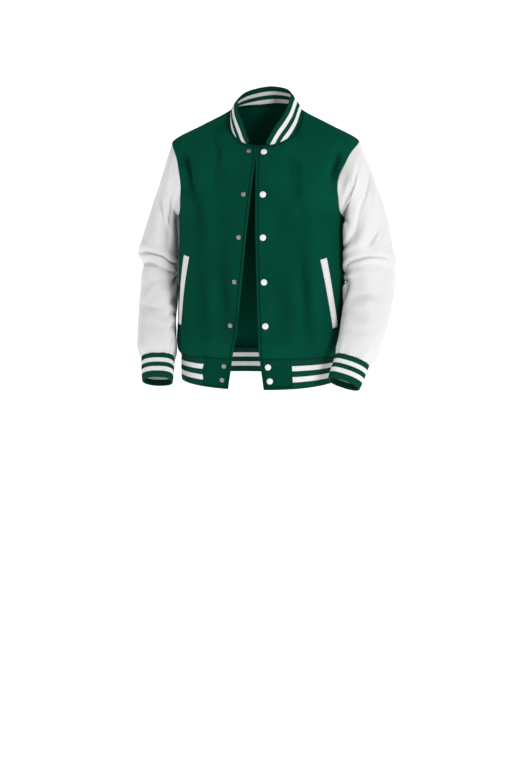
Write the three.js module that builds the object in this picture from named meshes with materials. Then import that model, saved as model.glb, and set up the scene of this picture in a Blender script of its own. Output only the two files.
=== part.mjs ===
// A varsity jacket as it hangs on a wearer: wool fronts and back, leather sleeves, and striped rib
// at the neck, cuffs and hem. It is hollow, and open down the front.
// Millimetres, +Z up, the front faces -Y and the wearer's left is +X. The origin is the middle of
// the neck, level with the inner ends of the shoulder seams.
// Each cloth piece is a grid of outer points with a wall of its own thickness behind it.
import * as THREE from "three";

// Driving dimensions
const WOOL_WALL = 2.6;
const LEATHER_WALL = 2.2;
const RIB_WALL = 3.2;
const SEAM_GAP = 0.3;
const SLEEVE_GAP = 0.45;
const RIB_GAP = 0.6;
const NECK_HALF = 88;
const NECK_DROP = 90;
const BACK_NECK_RISE = 14;
const NECK_POWER = 2.6;
const TIP_Z = -76;
const ARMPIT_Z = -268;
const HEM_SEAM_Z = -614;
const BAND_HEIGHT = 65;
const BAND_FRONT_DROP = 11;
const BLOCK_WIDTH = 78;
const SWING_REACH = 60;

// Counts of columns and rows in the grids
const NECK_COLUMNS = { front: 8, back: 6 };
const SHOULDER_COLUMNS = 8;
const UPPER_ROWS = 10;
const LOWER_ROWS = 9;
const SLEEVE_ROWS = 24;

// Ribs and gathers
const RIB_PITCH = 5;
const RIB_RELIEF = 0.9;
const GATHER_RELIEF = 3.2;
const GATHER_REACH = 42;
const GATHER_TURNS = { none: 38, full: 50 };
const GATHER_UNEVEN = { share: 0.3, perDegree: 0.31 };
const GATHER_FADE = 1.5;
const WRIST_GATHER_RELIEF = 2.4;
const WRIST_GATHER_REACH = 0.1;

const WOOL = new THREE.MeshStandardMaterial({ color: 0x004a38, roughness: 0.9, metalness: 0 });
const LEATHER = new THREE.MeshStandardMaterial({ color: 0xf0f0ef, roughness: 0.5, metalness: 0 });
const RIB = new THREE.MeshStandardMaterial({ color: 0x00523f, roughness: 0.85, metalness: 0 });
const CAP = new THREE.MeshStandardMaterial({ color: 0xf6f6f4, roughness: 0.35, metalness: 0 });
const METAL = new THREE.MeshStandardMaterial({ color: 0x8d8c88, roughness: 0.35, metalness: 1 });

// Level sections of the body, top to bottom: the middle's offset to the side and in depth, the half
// width, the depths in front of and behind the side seam, and the power of the rounded outline.
const TORSO = [
  { z: 20, shift: 0, mid: 8, half: 80, front: 6, back: 64, power: 2.2 },
  { z: 0, shift: 0, mid: 8, half: 88, front: 14, back: 72, power: 2.2 },
  { z: -38, shift: 0, mid: 8, half: 160, front: 46, back: 98, power: 2.2 },
  { z: -76, shift: -1, mid: 8, half: 232, front: 88, back: 116, power: 2.25 },
  { z: -112, shift: -3, mid: 6, half: 243, front: 114, back: 125, power: 2.3 },
  { z: -160, shift: -5, mid: 3, half: 238, front: 130, back: 131, power: 2.3 },
  { z: -215, shift: -8, mid: 1, half: 224, front: 138, back: 134, power: 2.3 },
  { z: -268, shift: -10, mid: 0, half: 210, front: 142, back: 134, power: 2.35 },
  { z: -400, shift: -11, mid: 0, half: 210, front: 145, back: 128, power: 2.4 },
  { z: -530, shift: -12, mid: 0, half: 212, front: 148, back: 128, power: 2.4 },
  { z: -580, shift: -14, mid: 0, half: 213, front: 148, back: 129, power: 2.4 },
  { z: -601, shift: -15, mid: 0, half: 208, front: 144, back: 125, power: 2.4 },
  { z: -614, shift: -15, mid: 0, half: 200, front: 139, back: 120, power: 2.4 },
  { z: -634, shift: -15, mid: 0, half: 199, front: 138, back: 119, power: 2.4 },
  { z: -700, shift: -15, mid: 0, half: 199, front: 140, back: 120, power: 2.4 },
];

// Where the two front edges lie, right and left of the middle.
const FRONT_EDGES = [
  { z: -702, right: -83.5, left: 13 },
  { z: -614, right: -68, left: 1 },
  { z: -540, right: -55, left: -2 },
  { z: -425, right: -43, left: -6 },
  { z: -302, right: -31, left: -9.2 },
  { z: -227, right: -23, left: -9.8 },
  { z: -150, right: -15.5, left: -10.6 },
  { z: -120, right: -12.6, left: -11 },
  { z: -80, right: -12.4, left: -11.2 },
];

// The armhole on the body, from the shoulder tip to the armpit, as turns from the centre front.
const ARMHOLE = [
  { part: 0, z: -76, front: 90, back: 90 },
  { part: 0.13, z: -91, front: 71.5, back: 108 },
  { part: 0.26, z: -115, front: 60.5, back: 118 },
  { part: 0.39, z: -148, front: 56, back: 122.5 },
  { part: 0.53, z: -184, front: 55, back: 124.5 },
  { part: 0.65, z: -217, front: 59.5, back: 122 },
  { part: 0.78, z: -248, front: 67.5, back: 114 },
  { part: 0.89, z: -263, front: 77.5, back: 103 },
  { part: 1, z: -268, front: 90, back: 90 },
];

// Soft troughs in the body, each from one place to another on it, as turn and height.
const BODY_FOLDS = [
  { turn0: -48.5, z0: -88, turn1: -44, z1: -200, width: 11, depth: 6 },
  { turn0: -32, z0: -72, turn1: -23, z1: -185, width: 12, depth: 3.6 },
  { turn0: -39, z0: -230, turn1: -32, z1: -580, width: 20, depth: 3.6 },
  { turn0: -19, z0: -255, turn1: -15, z1: -560, width: 16, depth: 3 },
  { turn0: -106, z0: -320, turn1: -102, z1: -600, width: 18, depth: 3 },
  { turn0: 22, z0: -70, turn1: 25, z1: -215, width: 12, depth: 4 },
  { turn0: 35, z0: -68, turn1: 43, z1: -150, width: 10, depth: 3.2 },
  { turn0: 48, z0: -95, turn1: 52, z1: -185, width: 11, depth: 6 },
  { turn0: 17, z0: -205, turn1: 19, z1: -560, width: 22, depth: 3.8 },
  { turn0: 31, z0: -255, turn1: 36, z1: -590, width: 16, depth: 3 },
  { turn0: 106, z0: -300, turn1: 103, z1: -600, width: 18, depth: 3 },
  { turn0: 118, z0: -95, turn1: 124, z1: -230, width: 13, depth: 5 },
  { turn0: -119, z0: -100, turn1: -125, z1: -240, width: 13, depth: 5 },
  { turn0: 140, z0: -330, turn1: 136, z1: -600, width: 20, depth: 4 },
  { turn0: 170, z0: -260, turn1: 174, z1: -590, width: 22, depth: 3 },
  { turn0: -158, z0: -300, turn1: -155, z1: -600, width: 20, depth: 3.6 },
  { turn0: -128, z0: -360, turn1: -131, z1: -600, width: 18, depth: 3.4 },
];
const FOLD_MM_PER_DEGREE = 2.9;

// The sleeves as rings, by the share of the sleeve's length: the outermost and innermost points of
// each, its middle's depth, half its depth, how many degrees its plane tips forward, and how far its
// front leans in towards the body. Outward is away from the body on both sides.
const SLEEVES = {
  right: [
    { along: 0.06, outX: 244, outZ: -106, inX: 224, inZ: -263, y: 3, deep: 83, tip: 0, skew: 0 },
    { along: 0.12, outX: 255, outZ: -138, inX: 225, inZ: -266, y: 6, deep: 79, tip: 0, skew: 0 },
    { along: 0.2, outX: 272, outZ: -186, inX: 226, inZ: -278, y: 10, deep: 74, tip: 0, skew: 2 },
    { along: 0.29, outX: 292, outZ: -238, inX: 226, inZ: -298, y: 14, deep: 70, tip: 0, skew: 6 },
    { along: 0.37, outX: 310, outZ: -290, inX: 225, inZ: -324, y: 17, deep: 67, tip: 0, skew: 8 },
    { along: 0.46, outX: 327, outZ: -342, inX: 225, inZ: -358, y: 19, deep: 65, tip: 0, skew: 9 },
    { along: 0.5, outX: 333, outZ: -366, inX: 225, inZ: -378, y: 19, deep: 64, tip: 2, skew: 9 },
    { along: 0.54, outX: 319, outZ: -390, inX: 226, inZ: -400, y: 18, deep: 59, tip: 6, skew: 9 },
    { along: 0.58, outX: 323, outZ: -412, inX: 225, inZ: -418, y: 15, deep: 60, tip: 12, skew: 9 },
    { along: 0.67, outX: 325, outZ: -462, inX: 226, inZ: -464, y: 1, deep: 58, tip: 18, skew: 11 },
    { along: 0.76, outX: 326, outZ: -515, inX: 227, inZ: -514, y: -18, deep: 56, tip: 22, skew: 14 },
    { along: 0.86, outX: 325, outZ: -564, inX: 225, inZ: -560, y: -40, deep: 54, tip: 26, skew: 12 },
    { along: 0.95, outX: 321, outZ: -604, inX: 221, inZ: -600, y: -57, deep: 48, tip: 28, skew: 4 },
    { along: 1, outX: 309, outZ: -624, inX: 227, inZ: -621, y: -64, deep: 37, tip: 28, skew: 0 },
  ],
  left: [
    { along: 0.06, outX: 243, outZ: -104, inX: 204, inZ: -263, y: 3, deep: 83, tip: 0, skew: 0 },
    { along: 0.12, outX: 256, outZ: -136, inX: 205, inZ: -266, y: 3, deep: 79, tip: 0, skew: 5 },
    { along: 0.2, outX: 273, outZ: -184, inX: 206, inZ: -276, y: 1, deep: 75, tip: 0, skew: 14 },
    { along: 0.29, outX: 290, outZ: -237, inX: 206, inZ: -296, y: -3, deep: 71, tip: 0, skew: 22 },
    { along: 0.37, outX: 303, outZ: -290, inX: 206, inZ: -324, y: -5, deep: 68, tip: 0, skew: 25 },
    { along: 0.46, outX: 315, outZ: -344, inX: 206, inZ: -362, y: -6, deep: 66, tip: 2, skew: 25 },
    { along: 0.51, outX: 322, outZ: -372, inX: 206, inZ: -388, y: -7, deep: 64, tip: 4, skew: 25 },
    { along: 0.55, outX: 320, outZ: -394, inX: 207, inZ: -406, y: -9, deep: 61, tip: 10, skew: 24 },
    { along: 0.59, outX: 324, outZ: -416, inX: 206, inZ: -424, y: -13, deep: 61, tip: 16, skew: 22 },
    { along: 0.67, outX: 322, outZ: -462, inX: 203, inZ: -466, y: -28, deep: 60, tip: 24, skew: 15 },
    { along: 0.76, outX: 315, outZ: -516, inX: 199, inZ: -512, y: -56, deep: 57, tip: 29, skew: 6 },
    { along: 0.86, outX: 302, outZ: -565, inX: 194, inZ: -554, y: -84, deep: 52, tip: 28, skew: 0 },
    { along: 0.95, outX: 287, outZ: -606, inX: 188, inZ: -588, y: -101, deep: 46, tip: 26, skew: 0 },
    { along: 1, outX: 269, outZ: -628, inX: 189, inZ: -604, y: -110, deep: 37, tip: 25, skew: 0 },
  ],
};
const SLEEVE_LENGTH = 560;
const SLEEVE_MM_PER_DEGREE = 1.13;
const INNER_SIDE_POWER = 2.7;
const SEAM_REACH = 0.1;
const FOLD_END = 0.06;

// The cuffs' free ends, in the same columns.
const CUFF_ENDS = {
  right: { outX: 302, outZ: -680, inX: 227, inZ: -678, y: -95, deep: 34, tip: 28, skew: 0 },
  left: { outX: 247, outZ: -684, inX: 171, inZ: -661, y: -135, deep: 35, tip: 25, skew: 0 },
};
const CUFF_ROWS = 2;

// Soft troughs in each sleeve: from one place to another, as degrees round it from its outer line
// towards the front, and as a share of its length.
const SLEEVE_FOLDS = {
  right: [
    { round0: 60, along0: 0.16, round1: 104, along1: 0.37, width: 13, depth: 4.5 },
    { round0: 115, along0: 0.12, round1: 108, along1: 0.42, width: 12, depth: 4.5 },
    { round0: 20, along0: 0.14, round1: 60, along1: 0.38, width: 13, depth: 3 },
    { round0: 5, along0: 0.5, round1: 95, along1: 0.5, width: 11, depth: 6 },
    { round0: 95, along0: 0.5, round1: 160, along1: 0.535, width: 11, depth: 6 },
    { round0: 180, along0: 0.59, round1: 128, along1: 0.64, width: 13, depth: 6.5 },
    { round0: 170, along0: 0.7, round1: 112, along1: 0.735, width: 12, depth: 4.5 },
    { round0: 20, along0: 0.742, round1: 101, along1: 0.762, width: 13, depth: 3 },
    { round0: 175, along0: 0.79, round1: 100, along1: 0.806, width: 13, depth: 3.5 },
    { round0: 200, along0: 0.5, round1: 330, along1: 0.56, width: 13, depth: 5.5 },
    { round0: 205, along0: 0.6, round1: 310, along1: 0.64, width: 14, depth: 4 },
    { round0: 215, along0: 0.71, round1: 305, along1: 0.77, width: 14, depth: 3 },
    { round0: 210, along0: 0.2, round1: 300, along1: 0.36, width: 15, depth: 5 },
  ],
  left: [
    { round0: 150, along0: 0.43, round1: 92, along1: 0.37, width: 13, depth: 5.5 },
    { round0: 92, along0: 0.37, round1: 20, along1: 0.19, width: 13, depth: 5.5 },
    { round0: 83, along0: 0.474, round1: 18, along1: 0.365, width: 12, depth: 3.8 },
    { round0: 140, along0: 0.22, round1: 100, along1: 0.33, width: 13, depth: 3 },
    { round0: 12, along0: 0.51, round1: 90, along1: 0.5, width: 11, depth: 6 },
    { round0: 90, along0: 0.5, round1: 155, along1: 0.565, width: 11, depth: 7 },
    { round0: 170, along0: 0.61, round1: 139, along1: 0.67, width: 13, depth: 6 },
    { round0: 120, along0: 0.72, round1: 54, along1: 0.69, width: 13, depth: 3 },
    { round0: 150, along0: 0.775, round1: 70, along1: 0.8, width: 14, depth: 3 },
    { round0: 200, along0: 0.5, round1: 330, along1: 0.57, width: 13, depth: 5.5 },
    { round0: 205, along0: 0.6, round1: 310, along1: 0.65, width: 14, depth: 4 },
    { round0: 215, along0: 0.72, round1: 305, along1: 0.77, width: 14, depth: 3 },
    { round0: 215, along0: 0.18, round1: 300, along1: 0.34, width: 15, depth: 5 },
  ],
};

// The collar's top edge on each side, by the share of the way from its front end to the centre back,
// with one place beyond that.
const COLLAR_EDGES = {
  left: [
    { share: 0, x: 10.5, y: -97, z: -85 },
    { share: 0.06, x: 17, y: -93, z: -71 },
    { share: 0.16, x: 31, y: -82, z: -45 },
    { share: 0.25, x: 43, y: -68, z: -26 },
    { share: 0.37, x: 56, y: -45, z: -1 },
    { share: 0.49, x: 62, y: -18, z: 23 },
    { share: 0.6, x: 63, y: 3, z: 37 },
    { share: 0.8, x: 44, y: 42, z: 52 },
    { share: 1, x: 0, y: 61, z: 58 },
    { share: 1.2, x: -50, y: 42, z: 46 },
  ],
  right: [
    { share: 0, x: -32, y: -97, z: -82 },
    { share: 0.06, x: -38, y: -93, z: -66 },
    { share: 0.16, x: -46.5, y: -83, z: -43 },
    { share: 0.25, x: -56, y: -70, z: -25 },
    { share: 0.37, x: -65.5, y: -50, z: -8 },
    { share: 0.49, x: -70.5, y: -24, z: 12 },
    { share: 0.6, x: -70, y: 1, z: 26 },
    { share: 0.8, x: -50, y: 42, z: 46 },
    { share: 1, x: 0, y: 61, z: 58 },
    { share: 1.2, x: 44, y: 42, z: 52 },
  ],
};
const COLLAR_ENDS = { right: -31.5, left: 10.5 };
const COLLAR_ROWS = 2;
const COLLAR_BULGE = 2.5;

// Snaps, by their heights, and their distance from the front edge.
const SNAP_HEIGHTS = [-107, -208, -313, -422, -530, -633, -668];
const SNAP_INSET = 18.5;
const CAP_PROFILE = [
  { radius: 0, height: 0 },
  { radius: 7.4, height: 0 },
  { radius: 7.7, height: 1.2 },
  { radius: 5.4, height: 2.6 },
  { radius: 0, height: 3 },
];
const STUD_PROFILE = [
  { radius: 0, height: 0 },
  { radius: 5.6, height: 0 },
  { radius: 5.4, height: 1 },
  { radius: 2.6, height: 1.2 },
  { radius: 2, height: 3 },
  { radius: 0, height: 3.2 },
];
const SNAP_SIDES = 10;
const SNAP_SEAT = 0.45;

// Pocket welts: their two ends on the body as turn and height, and their width and height.
const WELTS = {
  right: { turn0: -53.5, z0: -362, turn1: -66, z1: -535 },
  left: { turn0: 48.5, z0: -366, turn1: 63.5, z1: -538 },
};
const WELT_WIDTH = 19;
const WELT_RISE = 3;
const WELT_SEAT = 0.9;
const WELT_STEPS = 10;
const WELT_ROUNDING = 2.5;
const WELT_CROWN = 0.3;

const RAD = Math.PI / 180;
const lerp = THREE.MathUtils.lerp;
const vec = (x, y, z) => new THREE.Vector3(x, y, z);

// A table's row at a value of its key, on a smooth curve through its rows.
function rowAt(table, key, at) {
  const rising = table[table.length - 1][key] > table[0][key];
  const sign = rising ? 1 : -1;
  let i = 0;
  while (i < table.length - 2 && sign * at > sign * table[i + 1][key]) i += 1;
  const [a, b] = [table[i], table[i + 1]];
  const [before, after] = [table[Math.max(i - 1, 0)], table[Math.min(i + 2, table.length - 1)]];
  const span = b[key] - a[key];
  const t = THREE.MathUtils.clamp((at - a[key]) / span, 0, 1);
  const row = {};
  for (const column of Object.keys(a)) {
    const slope = (low, high) => (high[column] - low[column]) / (high[key] - low[key] || 1);
    const [m0, m1] = [slope(before, b) * span, slope(a, after) * span];
    row[column] =
      a[column] * (2 * t ** 3 - 3 * t ** 2 + 1) +
      m0 * (t ** 3 - 2 * t ** 2 + t) +
      b[column] * (3 * t ** 2 - 2 * t ** 3) +
      m1 * (t ** 3 - t ** 2);
  }
  return row;
}

const signedPower = (value, power) => Math.sign(value) * Math.abs(value) ** power;

// How deep a soft trough is at a place, its ends fading out.
function trough(fold, at, from, to) {
  const line = [to[0] - from[0], to[1] - from[1]];
  const length = Math.hypot(...line);
  const t = ((at[0] - from[0]) * line[0] + (at[1] - from[1]) * line[1]) / length ** 2;
  const near = THREE.MathUtils.clamp(t, 0, 1);
  const gap = Math.hypot(at[0] - from[0] - near * line[0], at[1] - from[1] - near * line[1]);
  const fade = Math.sin(Math.PI * THREE.MathUtils.clamp((t + 0.12) / 1.24, 0, 1)) ** 0.7;
  return fold.depth * fade * Math.exp(-((gap / fold.width) ** 2));
}

function bodyTrough(turn, z) {
  const at = [turn * FOLD_MM_PER_DEGREE, z];
  let depth = 0;
  for (const fold of BODY_FOLDS) {
    const from = [fold.turn0 * FOLD_MM_PER_DEGREE, fold.z0];
    const to = [fold.turn1 * FOLD_MM_PER_DEGREE, fold.z1];
    depth += trough(fold, at, from, to);
  }
  return depth;
}

// A point of the plain body, by the turn from the centre front (left positive) and the height.
function plainTorso(turn, z) {
  const s = rowAt(TORSO, "z", z);
  const [sin, cos] = [Math.sin(turn * RAD), Math.cos(turn * RAD)];
  const depth = cos > 0 ? s.front : s.back;
  const x = s.shift + s.half * signedPower(sin, 2 / s.power);
  return vec(x, s.mid - depth * signedPower(cos, 2 / s.power), z);
}

function torsoNormal(turn, z) {
  const round = plainTorso(turn + 1, z).sub(plainTorso(turn - 1, z));
  const up = plainTorso(turn, z + 4).sub(plainTorso(turn, z - 4));
  return round.cross(up).normalize();
}

function torso(turn, z) {
  const point = plainTorso(turn, z);
  return point.addScaledVector(torsoNormal(turn, z), -bodyTrough(turn, z));
}

// The turn at which the body has a given x, in front or behind.
function turnOf(x, z, behind) {
  const s = rowAt(TORSO, "z", z);
  const share = THREE.MathUtils.clamp((x - s.shift) / s.half, -1, 1);
  const turn = Math.asin(signedPower(share, s.power / 2)) / RAD;
  return behind ? Math.sign(turn || 1) * 180 - turn : turn;
}

// The neck seam's x and height, by the turn from the centre front.
function neckSeam(turn) {
  const [sin, cos] = [Math.sin(turn * RAD), Math.cos(turn * RAD)];
  const drop = cos > 0 ? -NECK_DROP : BACK_NECK_RISE;
  return {
    x: NECK_HALF * signedPower(sin, 2 / NECK_POWER),
    z: drop * Math.abs(cos) ** (2 / NECK_POWER),
  };
}

const neckTurnOf = (x) => Math.asin(signedPower(x / NECK_HALF, NECK_POWER / 2)) / RAD;

// The body's places, as turn and height, of one half of a panel: rows from the hem to the top edge,
// columns from the front edge or centre back to the side seam and armhole. Above the armpit they are
// blended from the four borders: by x low down near the middle, and elsewhere by the turn.
function halfPanel(side, behind) {
  const neckColumns = behind ? NECK_COLUMNS.back : NECK_COLUMNS.front;
  const columns = neckColumns + SHOULDER_COLUMNS;
  const edgeX = (z) => rowAt(FRONT_EDGES, "z", z)[side > 0 ? "left" : "right"];
  const startTurn = (z) => (behind ? side * 180 : turnOf(edgeX(z), z, false));
  const placeAt = (turn, z) => ({ turn, z, x: plainTorso(turn, z).x });
  const rows = [];
  for (let i = 0; i < LOWER_ROWS; i += 1) {
    const z = lerp(HEM_SEAM_Z, ARMPIT_Z, (i / LOWER_ROWS) ** 1.15);
    const row = [];
    for (let j = 0; j <= columns; j += 1) {
      row.push({ turn: lerp(startTurn(z), side * 90, j / columns), z });
    }
    rows.push(row);
  }
  const neckStart = behind ? side * 180 : neckTurnOf(edgeX(-NECK_DROP));
  const top = (j) => {
    if (j >= neckColumns) return placeAt(side * 90, lerp(0, TIP_Z, (j - neckColumns) / SHOULDER_COLUMNS));
    const { x, z } = neckSeam(lerp(neckStart, side * 90, j / neckColumns));
    return { turn: turnOf(x, z, behind), z, x };
  };
  const bottom = (j) => placeAt(lerp(startTurn(ARMPIT_Z), side * 90, j / columns), ARMPIT_Z);
  const armhole = (t) => {
    const place = rowAt(ARMHOLE, "part", 1 - t);
    return placeAt(side * (behind ? place.back : place.front), place.z);
  };
  const start = (t) => {
    const z = lerp(ARMPIT_Z, top(0).z, t);
    return placeAt(startTurn(z), z);
  };
  const [b0, b1, t0, t1] = [bottom(0), bottom(columns), top(0), top(columns)];
  for (let i = 0; i <= UPPER_ROWS; i += 1) {
    const t = i / UPPER_ROWS;
    const row = [];
    for (let j = 0; j <= columns; j += 1) {
      const s = j / columns;
      const [low, high, near, far] = [bottom(j), top(j), start(t), armhole(t)];
      const mix = (k) =>
        lerp(low[k], high[k], t) +
        lerp(near[k], far[k], s) -
        lerp(lerp(b0[k], b1[k], s), lerp(t0[k], t1[k], s), t);
      const z = mix("z");
      const outward = THREE.MathUtils.smoothstep(s, 0.3, 0.75);
      const upward = THREE.MathUtils.smoothstep(t, 0.5, 1);
      const byTurn = Math.max(outward, upward);
      let turn = lerp(turnOf(mix("x"), z, behind), mix("turn"), byTurn);
      if (i === UPPER_ROWS) turn = high.turn;
      if (j === 0) turn = near.turn;
      if (j === columns) turn = far.turn;
      row.push({ turn, z });
    }
    rows.push(row);
  }
  return rows;
}

// Cloth points on the body at those places, with gathers standing out above the hem rib.
function clothOn(places) {
  return places.map((row) =>
    row.map(({ turn, z }, j) => {
      const rise = Math.max(0, 1 - (z - HEM_SEAM_Z) / GATHER_REACH);
      const { none, full } = GATHER_TURNS;
      const gathered = THREE.MathUtils.smoothstep(Math.abs(turn), none, full);
      const { share, perDegree } = GATHER_UNEVEN;
      const uneven = 1 - share + share * Math.sin(turn * perDegree);
      const relief = j % 2 ? GATHER_RELIEF * gathered * uneven * rise ** GATHER_FADE : 0;
      return { point: torso(turn, z), normal: torsoNormal(turn, z), relief };
    }),
  );
}

// Draws a cell back from a seam, and keeps its wall from leaning over the seam.
function drawIn(cell, away, gap) {
  cell.point.addScaledVector(away, -gap / 2);
  const lean = cell.normal.dot(away);
  if (lean < 0) cell.normal.addScaledVector(away, -lean).normalize();
}

// A cell on the other side of a seam: it starts a gap away, and its wall can't lean back over it.
function keepOff(cell, away) {
  const lean = cell.normal.dot(away);
  if (lean > 0) cell.normal.addScaledVector(away, -lean).normalize();
}

// The directions that lead off a panel across a chain of its edge cells, square to the chain.
function edgeDirections(chain, closed) {
  const count = chain.length;
  const at = (k) => (closed ? chain[(k + count) % count] : chain[THREE.MathUtils.clamp(k, 0, count - 1)]);
  return chain.map((cell, k) => {
    const run = at(k + 1).point.clone().sub(at(k - 1).point);
    return run.cross(cell.normal).normalize();
  });
}

// Normals of a grid that has none, from its own points. A closed grid joins its last column to its
// first. Outward is to the right of the way up when looking along the rows' direction.
function addNormals(grid, closed) {
  const columns = grid[0].length;
  const column = (j) => (closed ? (j + columns) % columns : THREE.MathUtils.clamp(j, 0, columns - 1));
  grid.forEach((row, i) => {
    const [below, above] = [grid[Math.max(i - 1, 0)], grid[Math.min(i + 1, grid.length - 1)]];
    row.forEach((cell, j) => {
      const round = row[column(j + 1)].point.clone().sub(row[column(j - 1)].point);
      const up = above[j].point.clone().sub(below[j].point);
      cell.normal = round.cross(up).normalize();
    });
  });
  return grid;
}

// A closed wall: the grid's points, raised by their relief, outside, and a plain grid of every
// so many columns behind it.
function wall(grid, thickness, { closed = false, every = 1 } = {}) {
  const positions = [];
  const indices = [];
  const columns = grid[0].length;
  const put = (p) => positions.push(p.x, p.y, p.z) / 3 - 1;
  const outer = grid.map((row) =>
    row.map((c) => put(c.point.clone().addScaledVector(c.normal, c.relief || 0))),
  );
  const kept = [];
  for (let j = 0; j < columns; j += every) kept.push(j);
  if (!closed && kept[kept.length - 1] !== columns - 1) kept.push(columns - 1);
  const inner = grid.map((row) =>
    kept.map((j) => put(row[j].point.clone().addScaledVector(row[j].normal, -thickness))),
  );
  const face = (a, b, c) => indices.push(a, b, c);
  const skin = (mesh, count, flip) => {
    const last = closed ? count : count - 1;
    for (let i = 0; i + 1 < mesh.length; i += 1) {
      for (let j = 0; j < last; j += 1) {
        const k = (j + 1) % count;
        const [a, b, c, d] = [mesh[i][j], mesh[i][k], mesh[i + 1][k], mesh[i + 1][j]];
        if (flip) {
          face(a, c, b);
          face(a, d, c);
        } else {
          face(a, b, c);
          face(a, c, d);
        }
      }
    }
  };
  skin(outer, columns, false);
  skin(inner, kept.length, true);
  // The rims at the bottom and top join each inner step to the outer steps over it.
  const rim = (i, flip) => {
    const steps = closed ? kept.length : kept.length - 1;
    for (let k = 0; k < steps; k += 1) {
      const [from, to] = [kept[k], k + 1 < kept.length ? kept[k + 1] : columns];
      const half = Math.floor((from + to) / 2);
      const [near, far] = [inner[i][k], inner[i][(k + 1) % kept.length]];
      for (let j = from; j < to; j += 1) {
        const [a, b] = [outer[i][j], outer[i][(j + 1) % columns]];
        const tipPoint = j < half ? near : far;
        if (flip) face(a, b, tipPoint);
        else face(b, a, tipPoint);
      }
      const middle = outer[i][half % columns];
      if (flip) face(middle, far, near);
      else face(middle, near, far);
    }
  };
  rim(0, false);
  rim(grid.length - 1, true);
  if (!closed) {
    const last = kept.length - 1;
    for (let i = 0; i + 1 < grid.length; i += 1) {
      face(outer[i][0], outer[i + 1][0], inner[i + 1][0]);
      face(outer[i][0], inner[i + 1][0], inner[i][0]);
      face(outer[i][columns - 1], inner[i + 1][last], outer[i + 1][columns - 1]);
      face(outer[i][columns - 1], inner[i][last], inner[i + 1][last]);
    }
  }
  const geometry = new THREE.BufferGeometry();
  geometry.setAttribute("position", new THREE.Float32BufferAttribute(positions, 3));
  geometry.setIndex(indices);
  return geometry;
}

const jacket = new THREE.Group();

function add(name, geometry, material) {
  const mesh = new THREE.Mesh(geometry, material);
  mesh.name = name;
  jacket.add(mesh);
  return mesh;
}

// Body panels. Columns run towards +X seen from the front, so a right half is turned round.
const reversed = (rows) => rows.map((row) => [...row].reverse());
const places = {
  right: reversed(halfPanel(-1, false)),
  left: halfPanel(1, false),
  backLeft: halfPanel(1, true),
  backRight: halfPanel(-1, true),
};
const backPlaces = places.backLeft.map((row, i) => [
  ...[...row].reverse(),
  ...places.backRight[i].slice(1).map((place) => ({ ...place, turn: place.turn + 360 })),
]);
const frontRight = clothOn(places.right);
const frontLeft = clothOn(places.left);
const back = clothOn(backPlaces);

// The seam chains: cells of the panels in order, seen from outside with the panel on the left.
const TOP = LOWER_ROWS + UPPER_ROWS;
const columnOf = (grid, j, from, to) => {
  const cells = [];
  for (let i = from; i !== to; i += Math.sign(to - from)) cells.push(grid[i][j]);
  return cells;
};
const lastColumn = (grid) => grid[0].length - 1;
const chains = {
  // From the shoulder tip down the front of the armhole and up behind it.
  armholeLeft: [
    ...columnOf(frontLeft, lastColumn(frontLeft), TOP, LOWER_ROWS - 1),
    ...columnOf(back, 0, LOWER_ROWS + 1, TOP),
  ],
  armholeRight: [
    ...columnOf(frontRight, 0, TOP, LOWER_ROWS - 1),
    ...columnOf(back, lastColumn(back), LOWER_ROWS + 1, TOP),
  ],
  hem: [...frontLeft[0], ...back[0], ...frontRight[0]],
  neck: [
    ...frontLeft[TOP].slice(0, NECK_COLUMNS.front + 1),
    ...back[TOP].slice(SHOULDER_COLUMNS, lastColumn(back) - SHOULDER_COLUMNS + 1),
    ...frontRight[TOP].slice(SHOULDER_COLUMNS),
  ],
};
const directions = {
  armholeLeft: edgeDirections(chains.armholeLeft, true).map((d) => d.negate()),
  armholeRight: edgeDirections(chains.armholeRight, true),
  hem: edgeDirections(chains.hem, false),
  neck: edgeDirections(chains.neck, false).map((d) => d.negate()),
};
for (const name of Object.keys(chains)) {
  chains[name].forEach((cell, k) => drawIn(cell, directions[name][k], SEAM_GAP));
}
// The side and shoulder seams lie between the fronts and the back, one just before the other.
for (const [grid, column, shoulder, toBack] of [
  [frontRight, 0, (j) => j <= SHOULDER_COLUMNS, 1],
  [frontLeft, lastColumn(frontLeft), (j) => j >= NECK_COLUMNS.front, 1],
  [back, 0, (j) => j <= SHOULDER_COLUMNS || j >= lastColumn(back) - SHOULDER_COLUMNS, -1],
  [back, lastColumn(back), () => false, -1],
]) {
  const cells = new Set(columnOf(grid, column, 0, LOWER_ROWS + 1));
  grid[TOP].filter((_, j) => shoulder(j)).forEach((cell) => cells.add(cell));
  for (const cell of cells) {
    cell.point.y -= (toBack * SEAM_GAP) / 2;
    cell.normal.setY(0).normalize();
  }
}
add("front_right", wall(frontRight, WOOL_WALL), WOOL);
add("front_left", wall(frontLeft, WOOL_WALL), WOOL);
add("back", wall(back, WOOL_WALL), WOOL);

function ringPoint(ring, side, round) {
  const [sin, cos] = [Math.sin(round * RAD), Math.cos(round * RAD)];
  const out = vec(side * ring.outX, ring.y, ring.outZ);
  const into = vec(side * ring.inX, ring.y, ring.inZ);
  const middle = out.clone().add(into).multiplyScalar(0.5);
  const across = out.sub(into).multiplyScalar(0.5);
  const forward = vec(0, -Math.cos(ring.tip * RAD), Math.sin(ring.tip * RAD)).multiplyScalar(ring.deep);
  // The side that lies by the body is flatter than the rest.
  const flat = cos < 0 ? 2 / INNER_SIDE_POWER : 1;
  const point = middle
    .addScaledVector(across, signedPower(cos, flat))
    .addScaledVector(forward, signedPower(sin, flat));
  point.x -= side * ring.skew * sin;
  return point;
}

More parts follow.
